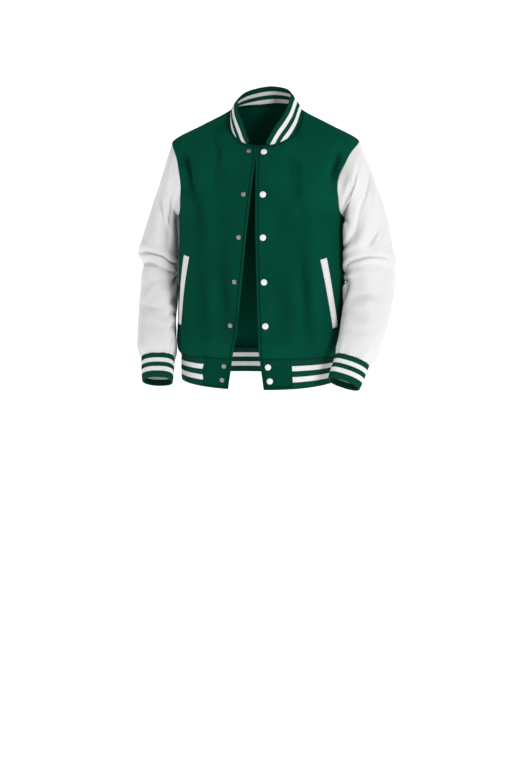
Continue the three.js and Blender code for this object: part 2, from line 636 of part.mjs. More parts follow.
function sleeveTrough(name, round, along) {
  let depth = 0;
  for (const fold of SLEEVE_FOLDS[name]) {
    for (const lap of [0, -360]) {
      const at = [(round + lap) * SLEEVE_MM_PER_DEGREE, along * SLEEVE_LENGTH];
      const from = [fold.round0 * SLEEVE_MM_PER_DEGREE, fold.along0 * SLEEVE_LENGTH];
      const to = [fold.round1 * SLEEVE_MM_PER_DEGREE, fold.along1 * SLEEVE_LENGTH];
      depth += trough(fold, at, from, to);
    }
  }
  const ends = THREE.MathUtils.clamp(Math.min(along, 1 - along) / FOLD_END, 0, 1);
  return depth * ends;
}

// A sleeve: rings from the wrist up to the armhole, with one column for each of the armhole's cells.
// Its columns run round it from the outer line, to the right as seen from outside.
function sleeveGrid(side, name) {
  const chain = chains[side > 0 ? "armholeLeft" : "armholeRight"];
  const away = directions[side > 0 ? "armholeLeft" : "armholeRight"];
  const count = chain.length;
  const table = SLEEVES[name];
  const grid = [];
  for (let i = SLEEVE_ROWS; i >= 0; i -= 1) {
    const along = i / SLEEVE_ROWS;
    const ring = rowAt(table, "along", Math.max(along, table[0].along));
    const leave = Math.sin((THREE.MathUtils.clamp(along / SEAM_REACH, 0, 1) * Math.PI) / 2);
    const pinch = Math.max(0, (along - (1 - WRIST_GATHER_REACH)) / WRIST_GATHER_REACH);
    const row = chain.map((cell, j) => {
      const round = (360 * j) / count;
      const seam = cell.point.clone().addScaledVector(away[j], SLEEVE_GAP);
      const point = seam.lerp(ringPoint(ring, side, round), leave);
      return { point, round, away: away[j], relief: j % 2 ? WRIST_GATHER_RELIEF * pinch : 0 };
    });
    grid.push(side > 0 ? [row[0], ...row.slice(1).reverse()] : row);
  }
  addNormals(grid, true);
  grid.forEach((row, i) => {
    const along = 1 - i / SLEEVE_ROWS;
    for (const cell of row) {
      cell.point.addScaledVector(cell.normal, -sleeveTrough(name, cell.round, along));
    }
  });
  addNormals(grid, true);
  for (const cell of grid[SLEEVE_ROWS]) keepOff(cell, cell.away);
  return grid;
}

// Points along a chain of cells, evenly by its own length, so that a rib follows its neighbour's
// edge exactly.
function alongChain(cells, aways, count, closed) {
  const steps = closed ? cells.length : cells.length - 1;
  const at = (list, k) => list[k % list.length];
  const lengths = [0];
  for (let k = 1; k <= steps; k += 1) {
    lengths.push(lengths[k - 1] + at(cells, k).point.distanceTo(at(cells, k - 1).point));
  }
  const total = lengths[steps];
  const picked = [];
  for (let k = 0; k < count; k += 1) {
    const way = (total * k) / (closed ? count : count - 1);
    let i = 1;
    while (i < steps && lengths[i] < way) i += 1;
    const t = THREE.MathUtils.clamp((way - lengths[i - 1]) / (lengths[i] - lengths[i - 1]), 0, 1);
    picked.push({
      point: at(cells, i - 1).point.clone().lerp(at(cells, i).point, t),
      away: at(aways, i - 1).clone().lerp(at(aways, i), t).normalize(),
      place: i - 1 + t,
      way,
    });
  }
  return { picked, total };
}

// A cuff: ribs raised on a tube from the sleeve's last ring to the cuff's free end.
function cuffGrid(side, name, sleeve) {
  const last = sleeve[0];
  const aways = last.map((cell, j) => cell.point.clone().sub(sleeve[1][j].point).normalize());
  const girth = alongChain(last, aways, 2, true).total;
  const ribs = 2 * Math.round(girth / RIB_PITCH / 2);
  const { picked } = alongChain(last, aways, 2 * ribs, true);
  const grid = [];
  for (let i = 0; i <= CUFF_ROWS; i += 1) {
    const row = picked.map((cell, j) => {
      const turned = (360 * cell.place) / last.length;
      const end = ringPoint(CUFF_ENDS[name], side, side > 0 ? -turned : turned);
      const top = cell.point.clone().addScaledVector(cell.away, RIB_GAP);
      return { point: end.lerp(top, i / CUFF_ROWS), relief: j % 2 ? RIB_RELIEF : 0, away: cell.away };
    });
    grid.push(row);
  }
  addNormals(grid, true);
  for (const cell of grid[CUFF_ROWS]) keepOff(cell, cell.away);
  return grid;
}

for (const [name, side] of [
  ["right", -1],
  ["left", 1],
]) {
  const sleeve = sleeveGrid(side, name);
  const cuff = cuffGrid(side, name, sleeve);
  add("sleeve_" + name, wall(sleeve, LEATHER_WALL, { closed: true }), LEATHER);
  add("cuff_" + name, wall(cuff, RIB_WALL, { closed: true, every: 4 }), RIB);
}

// The hem band hangs from the body's bottom edge: a wool block at each front edge, and rib between.
const bandBottom = (turn) => {
  const front = Math.max(0, Math.cos(turn * RAD));
  return HEM_SEAM_Z - BAND_HEIGHT - BAND_FRONT_DROP * front ** 2;
};
const hemTurns = [places.left, backPlaces, places.right].flatMap((map, k) =>
  map[0].map(({ turn }) => (k === 2 ? turn + 360 : turn)),
);
const turnAlong = (turns, place) => {
  const k = Math.min(Math.floor(place), turns.length - 2);
  return lerp(turns[k], turns[k + 1], place - k);
};
const FINE = 2000;
const hem = alongChain(chains.hem, directions.hem, FINE + 1, false);

// How far a front edge swings, in degrees, from the hem seam down to a height, fading to the side.
function swing(name, turn, z) {
  const reach = THREE.MathUtils.clamp(1 - Math.abs(turn) / SWING_REACH, 0, 1);
  const at = (height) => turnOf(rowAt(FRONT_EDGES, "z", height)[name], height);
  return (at(z) - at(HEM_SEAM_Z)) * reach;
}

// Part of the band, between two shares of its length, with a given number of columns and rows.
function bandGrid(from, to, columns, rows, ribbed) {
  const grid = [];
  for (let i = 0; i <= rows; i += 1) {
    const t = i / rows;
    const row = [];
    for (let j = 0; j < columns; j += 1) {
      const cell = hem.picked[Math.round(FINE * lerp(from, to, j / (columns - 1)))];
      const turn = turnAlong(hemTurns, cell.place);
      const signed = turn > 180 ? turn - 360 : turn;
      const z = lerp(bandBottom(turn), HEM_SEAM_Z, t);
      const moved = signed + swing(signed > 0 ? "left" : "right", signed, z);
      const top = cell.point.clone().addScaledVector(cell.away, RIB_GAP);
      const offset = top.sub(torso(signed, HEM_SEAM_Z)).multiplyScalar(t);
      const relief = ribbed && j % 2 ? RIB_RELIEF : 0;
      row.push({ point: torso(moved, z).add(offset), relief, away: cell.away });
    }
    grid.push(row);
  }
  addNormals(grid, false);
  for (const cell of grid[rows]) keepOff(cell, cell.away);
  return grid;
}

const blockShare = Math.round((FINE * BLOCK_WIDTH) / hem.total) / FINE;
const ribStart = blockShare + 1 / FINE;
const hemRibs = 2 * Math.round((hem.total * (1 - 2 * ribStart)) / RIB_PITCH / 2);
const hemBlocks = {
  left: bandGrid(0, blockShare, 7, 2, false),
  right: bandGrid(1 - blockShare, 1, 7, 2, false),
};
for (const [name, grid] of Object.entries(hemBlocks)) {
  add("hem_block_" + name, wall(grid, WOOL_WALL), WOOL);
}
const hemRib = bandGrid(ribStart, 1 - ribStart, 2 * hemRibs + 1, 2, true);
add("hem_rib", wall(hemRib, RIB_WALL, { every: 4 }), RIB);

// The collar stands on the neck seam, from near the left front edge round the back to the right.
function collarGrid() {
  const neck = alongChain(chains.neck, directions.neck, FINE + 1, false);
  const first = neck.picked.findIndex((cell) => cell.point.x >= COLLAR_ENDS.left);
  const fromRight = [...neck.picked].reverse().findIndex((cell) => cell.point.x <= COLLAR_ENDS.right);
  const last = FINE - fromRight;
  const length = (neck.total * (last - first)) / FINE;
  const ribs = 2 * Math.round(length / RIB_PITCH / 2);
  const grid = [];
  for (let i = 0; i <= COLLAR_ROWS; i += 1) {
    const t = i / COLLAR_ROWS;
    const row = [];
    for (let j = 0; j <= 2 * ribs; j += 1) {
      const cell = neck.picked[Math.round(lerp(first, last, j / (2 * ribs)))];
      const share = 1 - Math.abs(1 - j / ribs);
      const { x, y, z } = rowAt(COLLAR_EDGES[j < ribs ? "left" : "right"], "share", share);
      const base = cell.point.clone().addScaledVector(cell.away, RIB_GAP);
      const out = base.clone().setZ(0).normalize();
      const bulge = COLLAR_BULGE * Math.sin(Math.PI * t) * Math.min(1, share / 0.2);
      const point = base.lerp(vec(x, y, z), t).addScaledVector(out, bulge);
      row.push({ point, relief: j % 2 ? RIB_RELIEF : 0, away: cell.away });
    }
    grid.push(row);
  }
  addNormals(grid, false);
  for (const cell of grid[0]) keepOff(cell, cell.away);
  return grid;
}
add("collar_rib", wall(collarGrid(), RIB_WALL, { every: 4 }), RIB);

// Snaps: a white cap on the left front for each metal stud on the right front.
function snapGeometry(profile) {
  const outline = profile.map(({ radius, height }) => new THREE.Vector2(radius, height));
  return new THREE.LatheGeometry(outline, SNAP_SIDES);
}

// A place on a grid's outer surface, by its height and the way in from its front edge.
function onGrid(grid, z, inset, fromStart) {
  const line = (i) => (fromStart ? grid[i] : [...grid[i]].reverse());
  let i = 0;
  while (i < grid.length - 2 && line(i + 1)[0].point.z < z) i += 1;
  const [low, high] = [line(i), line(i + 1)];
  const t = (z - low[0].point.z) / (high[0].point.z - low[0].point.z);
  const between = low.map((cell, j) => ({
    point: cell.point.clone().lerp(high[j].point, t),
    normal: cell.normal.clone().lerp(high[j].normal, t),
  }));
  let [j, way] = [0, 0];
  let step = between[1].point.distanceTo(between[0].point);
  while (way + step < inset) {
    way += step;
    j += 1;
    step = between[j + 1].point.distanceTo(between[j].point);
  }
  const s = (inset - way) / step;
  const point = between[j].point.clone().lerp(between[j + 1].point, s);
  const normal = between[j].normal.clone().lerp(between[j + 1].normal, s).normalize();
  return { point, normal };
}
function addSnap(name, profile, material, place) {
  const mesh = add(name, snapGeometry(profile), material);
  mesh.position.copy(place.point).addScaledVector(place.normal, SNAP_SEAT);
  mesh.quaternion.setFromUnitVectors(vec(0, 1, 0), place.normal);
}
SNAP_HEIGHTS.forEach((z, k) => {
  const onBand = z < HEM_SEAM_Z;
  const leftPlace = onGrid(onBand ? hemBlocks.left : frontLeft, z, SNAP_INSET, true);
  const rightPlace = onGrid(onBand ? hemBlocks.right : frontRight, z, SNAP_INSET, false);
  addSnap("snap_cap_" + (k + 1), CAP_PROFILE, CAP, leftPlace);
  addSnap("snap_stud_" + (k + 1), STUD_PROFILE, METAL, rightPlace);
});

// Pocket welts: a strip of leather that lies on the front along a slanting pocket mouth.
function weltGrid({ turn0, z0, turn1, z1 }) {
  const half = WELT_WIDTH / 2;
  const inner = half - WELT_ROUNDING;
  const shoulder = (2 * WELT_RISE) / 3;
  const offsets = [-half, -half, -inner, 0, inner, half, half];
  const rises = [WELT_SEAT, shoulder, WELT_RISE, WELT_RISE + WELT_CROWN, WELT_RISE, shoulder, WELT_SEAT];
  const grid = [];
  for (let i = 0; i <= WELT_STEPS; i += 1) {
    const t = i / WELT_STEPS;
    const [turn, z] = [lerp(turn0, turn1, t), lerp(z0, z1, t)];
    const here = torso(turn, z);
    const way = torso(lerp(turn0, turn1, t + 0.01), lerp(z0, z1, t + 0.01)).sub(here).normalize();
    const normal = torsoNormal(turn, z);
    const across = normal.clone().cross(way).normalize();
    grid.push(
      offsets.map((offset, j) => {
        const x = here.x + across.x * offset;
        const level = z + across.z * offset;
        const on = turnOf(x, level);
        const lift = torsoNormal(on, level);
        return torso(on, level).addScaledVector(lift, rises[j]);
      }),
    );
  }
  return grid;
}

// A closed strip: rings of points, joined along their length and capped at both ends.
function stripGeometry(rings) {
  const positions = rings.flat().flatMap((p) => [p.x, p.y, p.z]);
  const count = rings[0].length;
  const indices = [];
  for (let i = 0; i + 1 < rings.length; i += 1) {
    for (let j = 0; j < count; j += 1) {
      const k = (j + 1) % count;
      const [a, b, c, d] = [i * count + j, i * count + k, (i + 1) * count + k, (i + 1) * count + j];
      indices.push(a, c, b, a, d, c);
    }
  }
  const end = (rings.length - 1) * count;
  for (let j = 1; j + 1 < count; j += 1) {
    indices.push(0, j, j + 1, end, end + j + 1, end + j);
  }
  const geometry = new THREE.BufferGeometry();
  geometry.setAttribute("position", new THREE.Float32BufferAttribute(positions, 3));
  geometry.setIndex(indices);
  return geometry;
}

for (const name of ["right", "left"]) {
  add("pocket_welt_" + name, stripGeometry(weltGrid(WELTS[name])), LEATHER);
}

export default jacket;
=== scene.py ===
# A varsity jacket as it hangs on a wearer: wool body, leather sleeves, striped rib, snaps and welts.
# Metres, +Z up, the front faces -Y and the wearer's left is +X. The origin is the middle of the
# neck, level with the inner ends of the shoulder seams.
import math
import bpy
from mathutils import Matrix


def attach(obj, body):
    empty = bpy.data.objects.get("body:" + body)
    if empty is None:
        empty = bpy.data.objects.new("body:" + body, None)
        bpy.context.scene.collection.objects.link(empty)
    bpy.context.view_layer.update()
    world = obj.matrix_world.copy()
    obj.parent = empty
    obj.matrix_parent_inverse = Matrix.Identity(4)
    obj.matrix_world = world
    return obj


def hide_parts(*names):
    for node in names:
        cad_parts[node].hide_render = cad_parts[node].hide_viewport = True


bl_info = {
    "name": "Varsity Jacket",
    "version": (1, 0, 0),
    "blender": (4, 5, 0),
    "location": "3D View > Sidebar > Jacket",
    "description": "Builds a worn varsity jacket in wool, leather and striped rib",
    "category": "Add Mesh",
}

import bmesh
import bpy
import numpy as np
from mathutils import Matrix, Vector

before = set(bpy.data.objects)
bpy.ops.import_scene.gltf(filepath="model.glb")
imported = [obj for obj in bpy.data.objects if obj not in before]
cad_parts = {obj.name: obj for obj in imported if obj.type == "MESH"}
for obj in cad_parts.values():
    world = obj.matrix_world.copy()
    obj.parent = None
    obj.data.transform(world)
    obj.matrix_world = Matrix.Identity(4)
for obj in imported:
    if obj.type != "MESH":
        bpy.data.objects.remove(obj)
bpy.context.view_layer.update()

# Driving dimensions of the cut
NECK_HALF = 0.088
NECK_DROP = 0.090
BACK_NECK_RISE = 0.014
NECK_POWER = 2.6
TIP_Z = -0.076
ARMPIT_Z = -0.268
HEM_SEAM_Z = -0.614
BAND_HEIGHT = 0.065
BAND_FRONT_DROP = 0.011
BLOCK_WIDTH = 0.078
SLEEVE_LENGTH = 0.560
# How far pieces lap at their seams, so that no light shows through
SEAM_LAP = 0.0005
RIB_LAP = 0.0004

# Level sections of the body: height, the middle's offset to the side and in depth, the half width,
# the depths in front of and behind the side seam, and the power of the rounded outline.
TORSO = (
    (0.020, 0, 0.008, 0.080, 0.006, 0.064, 2.2),
    (0.000, 0, 0.008, 0.088, 0.014, 0.072, 2.2),
    (-0.038, 0, 0.008, 0.160, 0.046, 0.098, 2.2),
    (-0.076, -0.001, 0.008, 0.232, 0.088, 0.116, 2.25),
    (-0.112, -0.003, 0.006, 0.243, 0.114, 0.125, 2.3),
    (-0.160, -0.005, 0.003, 0.238, 0.130, 0.131, 2.3),
    (-0.215, -0.008, 0.001, 0.224, 0.138, 0.134, 2.3),
    (-0.268, -0.010, 0, 0.210, 0.142, 0.134, 2.35),
    (-0.400, -0.011, 0, 0.210, 0.145, 0.128, 2.4),
    (-0.530, -0.012, 0, 0.212, 0.148, 0.128, 2.4),
    (-0.580, -0.014, 0, 0.213, 0.148, 0.129, 2.4),
    (-0.601, -0.015, 0, 0.208, 0.144, 0.125, 2.4),
    (-0.614, -0.015, 0, 0.200, 0.139, 0.120, 2.4),
    (-0.634, -0.015, 0, 0.199, 0.138, 0.119, 2.4),
    (-0.700, -0.015, 0, 0.199, 0.140, 0.120, 2.4),
)

# Where the front edges lie, by height: the right one's x and the left one's.
FRONT_EDGES = (
    (-0.702, -0.0835, 0.013),
    (-0.614, -0.068, 0.001),
    (-0.540, -0.055, -0.002),
    (-0.425, -0.043, -0.006),
    (-0.302, -0.031, -0.0092),
    (-0.227, -0.023, -0.0098),
    (-0.150, -0.0155, -0.0106),
    (-0.120, -0.0126, -0.011),
    (-0.080, -0.0124, -0.0112),
)

# The armhole from the shoulder tip to the armpit: the share of the way, the height, and the turns
# from the centre front of its front and back halves.
ARMHOLE = (
    (0, -0.076, 90, 90),
    (0.13, -0.091, 71.5, 108),
    (0.26, -0.115, 60.5, 118),
    (0.39, -0.148, 56, 122.5),
    (0.53, -0.184, 55, 124.5),
    (0.65, -0.217, 59.5, 122),
    (0.78, -0.248, 67.5, 114),
    (0.89, -0.263, 77.5, 103),
    (1, -0.268, 90, 90),
)

# Folds in the body: the places that each runs through, as turn and height, its width, its depth,
# and, if it isn't the usual one, the share of that depth by which the cloth stands up along its
# right side.
BODY_FOLDS = (
    (((-49, -0.085), (-47.5, -0.11), (-45.5, -0.15), (-43, -0.205)), 0.02, 0.0112, 0.35),
    (((-37, -0.058), (-27, -0.09), (-24, -0.115), (-23, -0.19)), 0.021, 0.0075),
    (((-40, -0.215), (-36, -0.37), (-32, -0.543), (-33, -0.6)), 0.027, 0.0063),
    (((-19.5, -0.25), (-17, -0.42), (-15, -0.56)), 0.022, 0.0054),
    (((-106, -0.32), (-105, -0.45), (-102, -0.6)), 0.024, 0.006),
    (((23, -0.058), (20.8, -0.102), (22, -0.149), (26, -0.224)), 0.021, 0.0083),
    (((37.7, -0.052), (33, -0.08), (38, -0.115), (43.4, -0.15)), 0.017, 0.006),
    (((47, -0.09), (49.2, -0.12), (50, -0.15), (53, -0.19)), 0.02, 0.012, 0.35),
    (((16.5, -0.2), (19.4, -0.368), (19.2, -0.56)), 0.03, 0.0069),
    (((30, -0.25), (33, -0.42), (36, -0.59)), 0.02, 0.0054),
    (((106, -0.3), (105, -0.45), (103, -0.6)), 0.024, 0.006),
    (((118, -0.095), (121, -0.16), (124, -0.23)), 0.018, 0.009),
    (((-119, -0.1), (-122, -0.17), (-125, -0.24)), 0.018, 0.009),
    (((140, -0.33), (137, -0.48), (136, -0.6)), 0.027, 0.0075),
    (((170, -0.26), (173, -0.42), (174, -0.59)), 0.03, 0.0057),
    (((-158, -0.3), (-156, -0.45), (-155, -0.6)), 0.027, 0.0069),
    (((-128, -0.36), (-130, -0.48), (-131, -0.6)), 0.024, 0.0063),
)
BODY_SPREAD = (0.0029, 1.0)

# Sleeve rings by the share of the length: the outermost point's x and z, the innermost point's x
# and z, the middle's y, half the depth, the degrees it tips forward, and how far its front leans in.
RIGHT_SLEEVE = (
    (0.06, 0.244, -0.106, 0.224, -0.263, 0.003, 0.083, 0, 0),
    (0.12, 0.255, -0.138, 0.225, -0.266, 0.006, 0.079, 0, 0),
    (0.20, 0.272, -0.186, 0.226, -0.278, 0.010, 0.074, 0, 0.002),
    (0.29, 0.292, -0.238, 0.226, -0.298, 0.014, 0.070, 0, 0.006),
    (0.37, 0.310, -0.290, 0.225, -0.324, 0.017, 0.067, 0, 0.008),
    (0.46, 0.327, -0.342, 0.225, -0.358, 0.019, 0.065, 0, 0.009),
    (0.50, 0.333, -0.366, 0.225, -0.378, 0.019, 0.064, 2, 0.009),
    (0.54, 0.319, -0.390, 0.226, -0.400, 0.018, 0.059, 6, 0.009),
    (0.58, 0.323, -0.412, 0.225, -0.418, 0.015, 0.060, 12, 0.009),
    (0.67, 0.325, -0.462, 0.226, -0.464, 0.001, 0.058, 18, 0.011),
    (0.76, 0.326, -0.515, 0.227, -0.514, -0.018, 0.056, 22, 0.014),
    (0.86, 0.325, -0.564, 0.225, -0.560, -0.040, 0.054, 26, 0.012),
    (0.95, 0.321, -0.604, 0.221, -0.600, -0.057, 0.048, 28, 0.004),
    (1.00, 0.309, -0.624, 0.227, -0.621, -0.064, 0.037, 28, 0),
)
LEFT_SLEEVE = (
    (0.06, 0.243, -0.104, 0.204, -0.263, 0.003, 0.083, 0, 0),
    (0.12, 0.256, -0.136, 0.205, -0.266, 0.003, 0.079, 0, 0.005),
    (0.20, 0.273, -0.184, 0.206, -0.276, 0.001, 0.075, 0, 0.014),
    (0.29, 0.290, -0.237, 0.206, -0.296, -0.003, 0.071, 0, 0.022),
    (0.37, 0.303, -0.290, 0.206, -0.324, -0.005, 0.068, 0, 0.025),
    (0.46, 0.315, -0.344, 0.206, -0.362, -0.006, 0.066, 2, 0.025),
    (0.51, 0.322, -0.372, 0.206, -0.388, -0.007, 0.064, 4, 0.025),
    (0.55, 0.320, -0.394, 0.207, -0.406, -0.009, 0.061, 10, 0.024),
    (0.59, 0.324, -0.416, 0.206, -0.424, -0.013, 0.061, 16, 0.022),
    (0.67, 0.322, -0.462, 0.203, -0.466, -0.028, 0.060, 24, 0.015),
    (0.76, 0.315, -0.516, 0.199, -0.512, -0.056, 0.057, 29, 0.006),
    (0.86, 0.302, -0.565, 0.194, -0.554, -0.084, 0.052, 28, 0),
    (0.95, 0.287, -0.606, 0.188, -0.588, -0.101, 0.046, 26, 0),
    (1.00, 0.269, -0.628, 0.189, -0.604, -0.110, 0.037, 25, 0),
)
# The cuffs' free ends, in the same columns after the first.
RIGHT_CUFF_END = (0.302, -0.680, 0.227, -0.678, -0.095, 0.034, 28, 0)
LEFT_CUFF_END = (0.247, -0.684, 0.171, -0.661, -0.135, 0.035, 25, 0)
INNER_SIDE_POWER = 2.7
# Shares of the sleeve's length over which it leaves the armhole, and its folds fade at the ends
SEAM_REACH = 0.1
FOLD_END = 0.05

# How a fold varies: steps between two of its places, how far it reaches in widths, how its width
# wavers along the way, how it fades past its ends, and how high, where and how wide its ridge is.
FOLD_PATH_STEPS = 6
FOLD_MARGIN = 4
FOLD_WAVER = {"amount": 0.22, "pace": 7, "shift": 2.1}
FOLD_FADE = {"past": 0.08, "power": 0.7}
USUAL_RIDGE = 0.3
RIDGE_ASIDE = 1.9
RIDGE_WIDTH = 1.1

# Painted shade in the folds and painted highlight on their ridges: passes that smooth the cloth around a
# point, and the depth of a full hollow
HOLLOW_PASSES = 44
FULL_HOLLOW = 0.0026
# Width of the furrow of painted shade along seams that join another piece
FURROW = 0.0012

# Gathers above the hem rib: how far up they reach, how softly they start, the turns between which
# they begin beside the blocks, and how the broad ones vary and the small ones lie among them.
GATHER_REACH = 0.042
GATHER_EASE = 0.007
GATHER_TURNS = (38, 50)
GATHER_POWERS = {"broad": 1.5, "small": 4}
GATHER_UNEVEN = {"amount": 0.3, "pace": 0.31}
HEM_RIPPLES = {"amount": 0.3, "pace": 2.3, "drift": 0.17}

# Gathers above the cuffs, from a share of the sleeve's length on
WRIST_START = 0.9
WRIST_DRIFT = {"amount": 0.4, "pace": 0.9}
WRIST_RIPPLES = {"amount": 0.35, "pace": 1.6}

# Folds in the sleeves, as in the body, but by degrees round from the outer line towards the front
# and by share of the length. A negative depth is a ridge.
RIGHT_SLEEVE_FOLDS = (
    (((5, 0.495), (30, 0.49), (60, 0.484), (97, 0.494), (122, 0.517), (175, 0.53)), 0.0046, 0.008, 0),
    (((10, 0.462), (50, 0.455), (85, 0.462), (115, 0.482), (150, 0.5)), 0.011, -0.004, 0),
    (((0, 0.56), (47, 0.543), (74, 0.553), (103, 0.571), (150, 0.585)), 0.008, 0.0042, 0.2),
    (((40, 0.08), (62, 0.15), (60, 0.206), (82, 0.27), (104, 0.37)), 0.013, 0.0055),
    (((92, 0.04), (120, 0.14), (122, 0.2), (110, 0.33), (108, 0.44)), 0.011, 0.006),
    (((20, 0.14), (34, 0.24), (44, 0.31), (60, 0.38)), 0.013, 0.0036),
    (((180, 0.585), (153, 0.612), (128, 0.64)), 0.012, 0.0095),
    (((100, 0.65), (88, 0.629), (50, 0.653), (20, 0.66)), 0.012, 0.0034),
    (((170, 0.7), (133, 0.724), (112, 0.735)), 0.011, 0.006),
    (((20, 0.742), (38, 0.747), (70, 0.765), (101, 0.76)), 0.012, 0.004),
    (((175, 0.79), (140, 0.78), (100, 0.806)), 0.012, 0.005),
    (((40, 0.83), (72, 0.853), (105, 0.88)), 0.013, 0.0036),
    (((165, 0.85), (140, 0.865), (118, 0.9)), 0.011, 0.004),
    (((200, 0.5), (265, 0.52), (330, 0.56)), 0.012, 0.007),
    (((205, 0.6), (260, 0.61), (310, 0.64)), 0.013, 0.005),
    (((215, 0.71), (265, 0.73), (305, 0.77)), 0.013, 0.004),
    (((210, 0.2), (260, 0.26), (300, 0.36)), 0.014, 0.006),
    (((240, 0.1), (285, 0.2), (320, 0.32)), 0.013, 0.004),
)
LEFT_SLEEVE_FOLDS = (
    (((160, 0.57), (148, 0.562), (120, 0.521), (88, 0.5), (56, 0.494), (12, 0.509)), 0.0046, 0.008, 0),
    (((150, 0.53), (115, 0.49), (80, 0.472), (45, 0.468), (15, 0.482)), 0.012, -0.004, 0),
    (((160, 0.575), (140, 0.562), (118, 0.548), (97, 0.535)), 0.01, 0.0045, 0),
    (((170, 0.6), (150, 0.592), (119, 0.6), (100, 0.595)), 0.006, -0.0036, 0),
    (((150, 0.59), (95, 0.553), (60, 0.535), (30, 0.53)), 0.011, 0.0034, 0.2),
    (((118, 0.004), (100, 0.012), (82, 0.026)), 0.008, 0.005, 0.35),
    (((130, 0.026), (108, 0.059), (90, 0.094), (70, 0.085), (48, 0.075)), 0.009, 0.0055, 0.35),
    (((165, 0.03), (150, 0.06), (124, 0.1), (108, 0.125)), 0.009, 0.006, 0.35),
    (((153, 0.424), (117, 0.405), (92, 0.376), (63, 0.288), (27, 0.206), (0, 0.15)), 0.012, 0.0075, 0.35),
    (((83, 0.474), (60, 0.45), (43, 0.418), (18, 0.365)), 0.011, 0.0048),
    (((140, 0.22), (118, 0.26), (100, 0.33)), 0.012, 0.004),
    (((170, 0.61), (130, 0.622), (139, 0.676), (165, 0.72)), 0.012, 0.009),
    (((120, 0.72), (101, 0.712), (81, 0.7), (54, 0.688)), 0.012, 0.004),
    (((150, 0.775), (130, 0.77), (100, 0.79), (70, 0.8)), 0.013, 0.004),
    (((140, 0.86), (110, 0.865), (85, 0.868), (60, 0.86)), 0.013, 0.003),
    (((200, 0.5), (265, 0.53), (330, 0.57)), 0.012, 0.007),
    (((205, 0.6), (260, 0.62), (310, 0.65)), 0.013, 0.005),
    (((215, 0.72), (265, 0.74), (305, 0.77)), 0.013, 0.004),
    (((215, 0.18), (260, 0.25), (300, 0.34)), 0.014, 0.006),
    (((240, 0.1), (285, 0.2), (320, 0.32)), 0.013, 0.004),
)
SLEEVE_SPREAD = (0.00113, SLEEVE_LENGTH)

# The collar's top edge by the share of the way from its front end to the centre back, with one place
# beyond that: x, y, z.
LEFT_COLLAR_EDGE = (
    (0, 0.0105, -0.097, -0.085),
    (0.06, 0.017, -0.093, -0.071),
    (0.16, 0.031, -0.082, -0.045),
    (0.25, 0.043, -0.068, -0.026),
    (0.37, 0.056, -0.045, -0.001),
    (0.49, 0.062, -0.018, 0.023),
    (0.60, 0.063, 0.003, 0.037),
    (0.80, 0.044, 0.042, 0.052),
    (1, 0, 0.061, 0.058),
    (1.2, -0.050, 0.042, 0.046),
)
RIGHT_COLLAR_EDGE = (
    (0, -0.032, -0.097, -0.082),
    (0.06, -0.038, -0.093, -0.066),
    (0.16, -0.0465, -0.083, -0.043),
    (0.25, -0.056, -0.070, -0.025),
    (0.37, -0.0655, -0.050, -0.008),
    (0.49, -0.0705, -0.024, 0.012),
    (0.60, -0.070, 0.001, 0.026),
    (0.80, -0.050, 0.042, 0.046),
    (1, 0, 0.061, 0.058),
    (1.2, 0.044, 0.042, 0.052),
)
COLLAR_ENDS = {"left": 0.0105, "right": -0.0315}
COLLAR_BULGE = 0.0025

# Snaps by height, and pocket welts by the turn and height of their two ends.
SNAP_HEIGHTS = (-0.107, -0.208, -0.313, -0.422, -0.530, -0.633, -0.668)
SNAP_INSET = 0.0185
WELTS = {"right": (-53.5, -0.362, -66, -0.535), "left": (48.5, -0.366, 63.5, -0.538)}
WELT_WIDTH = 0.019

# Counts of the coarse columns on which the gathers stand, and of the fine steps in each
NECK_COLUMNS = {"front": 8, "back": 6}
SHOULDER_COLUMNS = 8
COLUMN_STEPS = 5
LOWER_ROWS = 92
UPPER_ROWS = 60
ARMHOLE_COLUMNS = 20
SLEEVE_COLUMN_STEPS = 8
SLEEVE_ROWS = 220
RIB_STEPS = 8
RIB_ROWS = 16
BLOCK_STEPS = 32
HEM_STEPS = 1600
WELT_STEPS = 60
LATHE_STEPS = 40
SWEEP_STEPS = 24
# How the rows crowd towards the hem, and where the turns take over from the blend of x
LOWER_CROWDING = 1.15
TURN_SHARES = {"across": (0.3, 0.75), "up": (0.5, 1)}
MERGE_DISTANCE = 1e-6

# Stripes as shares of the rib's height, each as its two edges
CUFF_STRIPES = ((0.22, 0.39), (0.57, 0.75))
HEM_STRIPES = ((0.227, 0.397), (0.592, 0.772))
COLLAR_STRIPES = ((0.24, 0.44), (0.66, 0.88))
STRIPE_MARGIN = 0.0025
COLLAR_STRIPE_SPAN = 0.050
STRIPE_SOFTNESS = 0.006
KNIT_COURSE = 0.0016
RIB_SHADOW = (0.0, 0.02, 0.014, 1.0)
# How far the rib's middle swells, over how many ribs it flattens at the hem's blocks, and over
# what share the collar's bulge fades at its ends
RIB_SWELL = 0.0012
SWELL_POWER = 0.6
HEM_RIB_FADE = 1.5
COLLAR_END_SHARE = 0.2
# Degrees from the centre front within which the hem band swings with the front edges
SWING_REACH = 60

# Stitches: their pitch, half the thread's width, and half the width that they draw down
STITCH_PITCH = 0.0032
THREAD_HALF = 0.0004
DRAWN_HALF = 0.0013

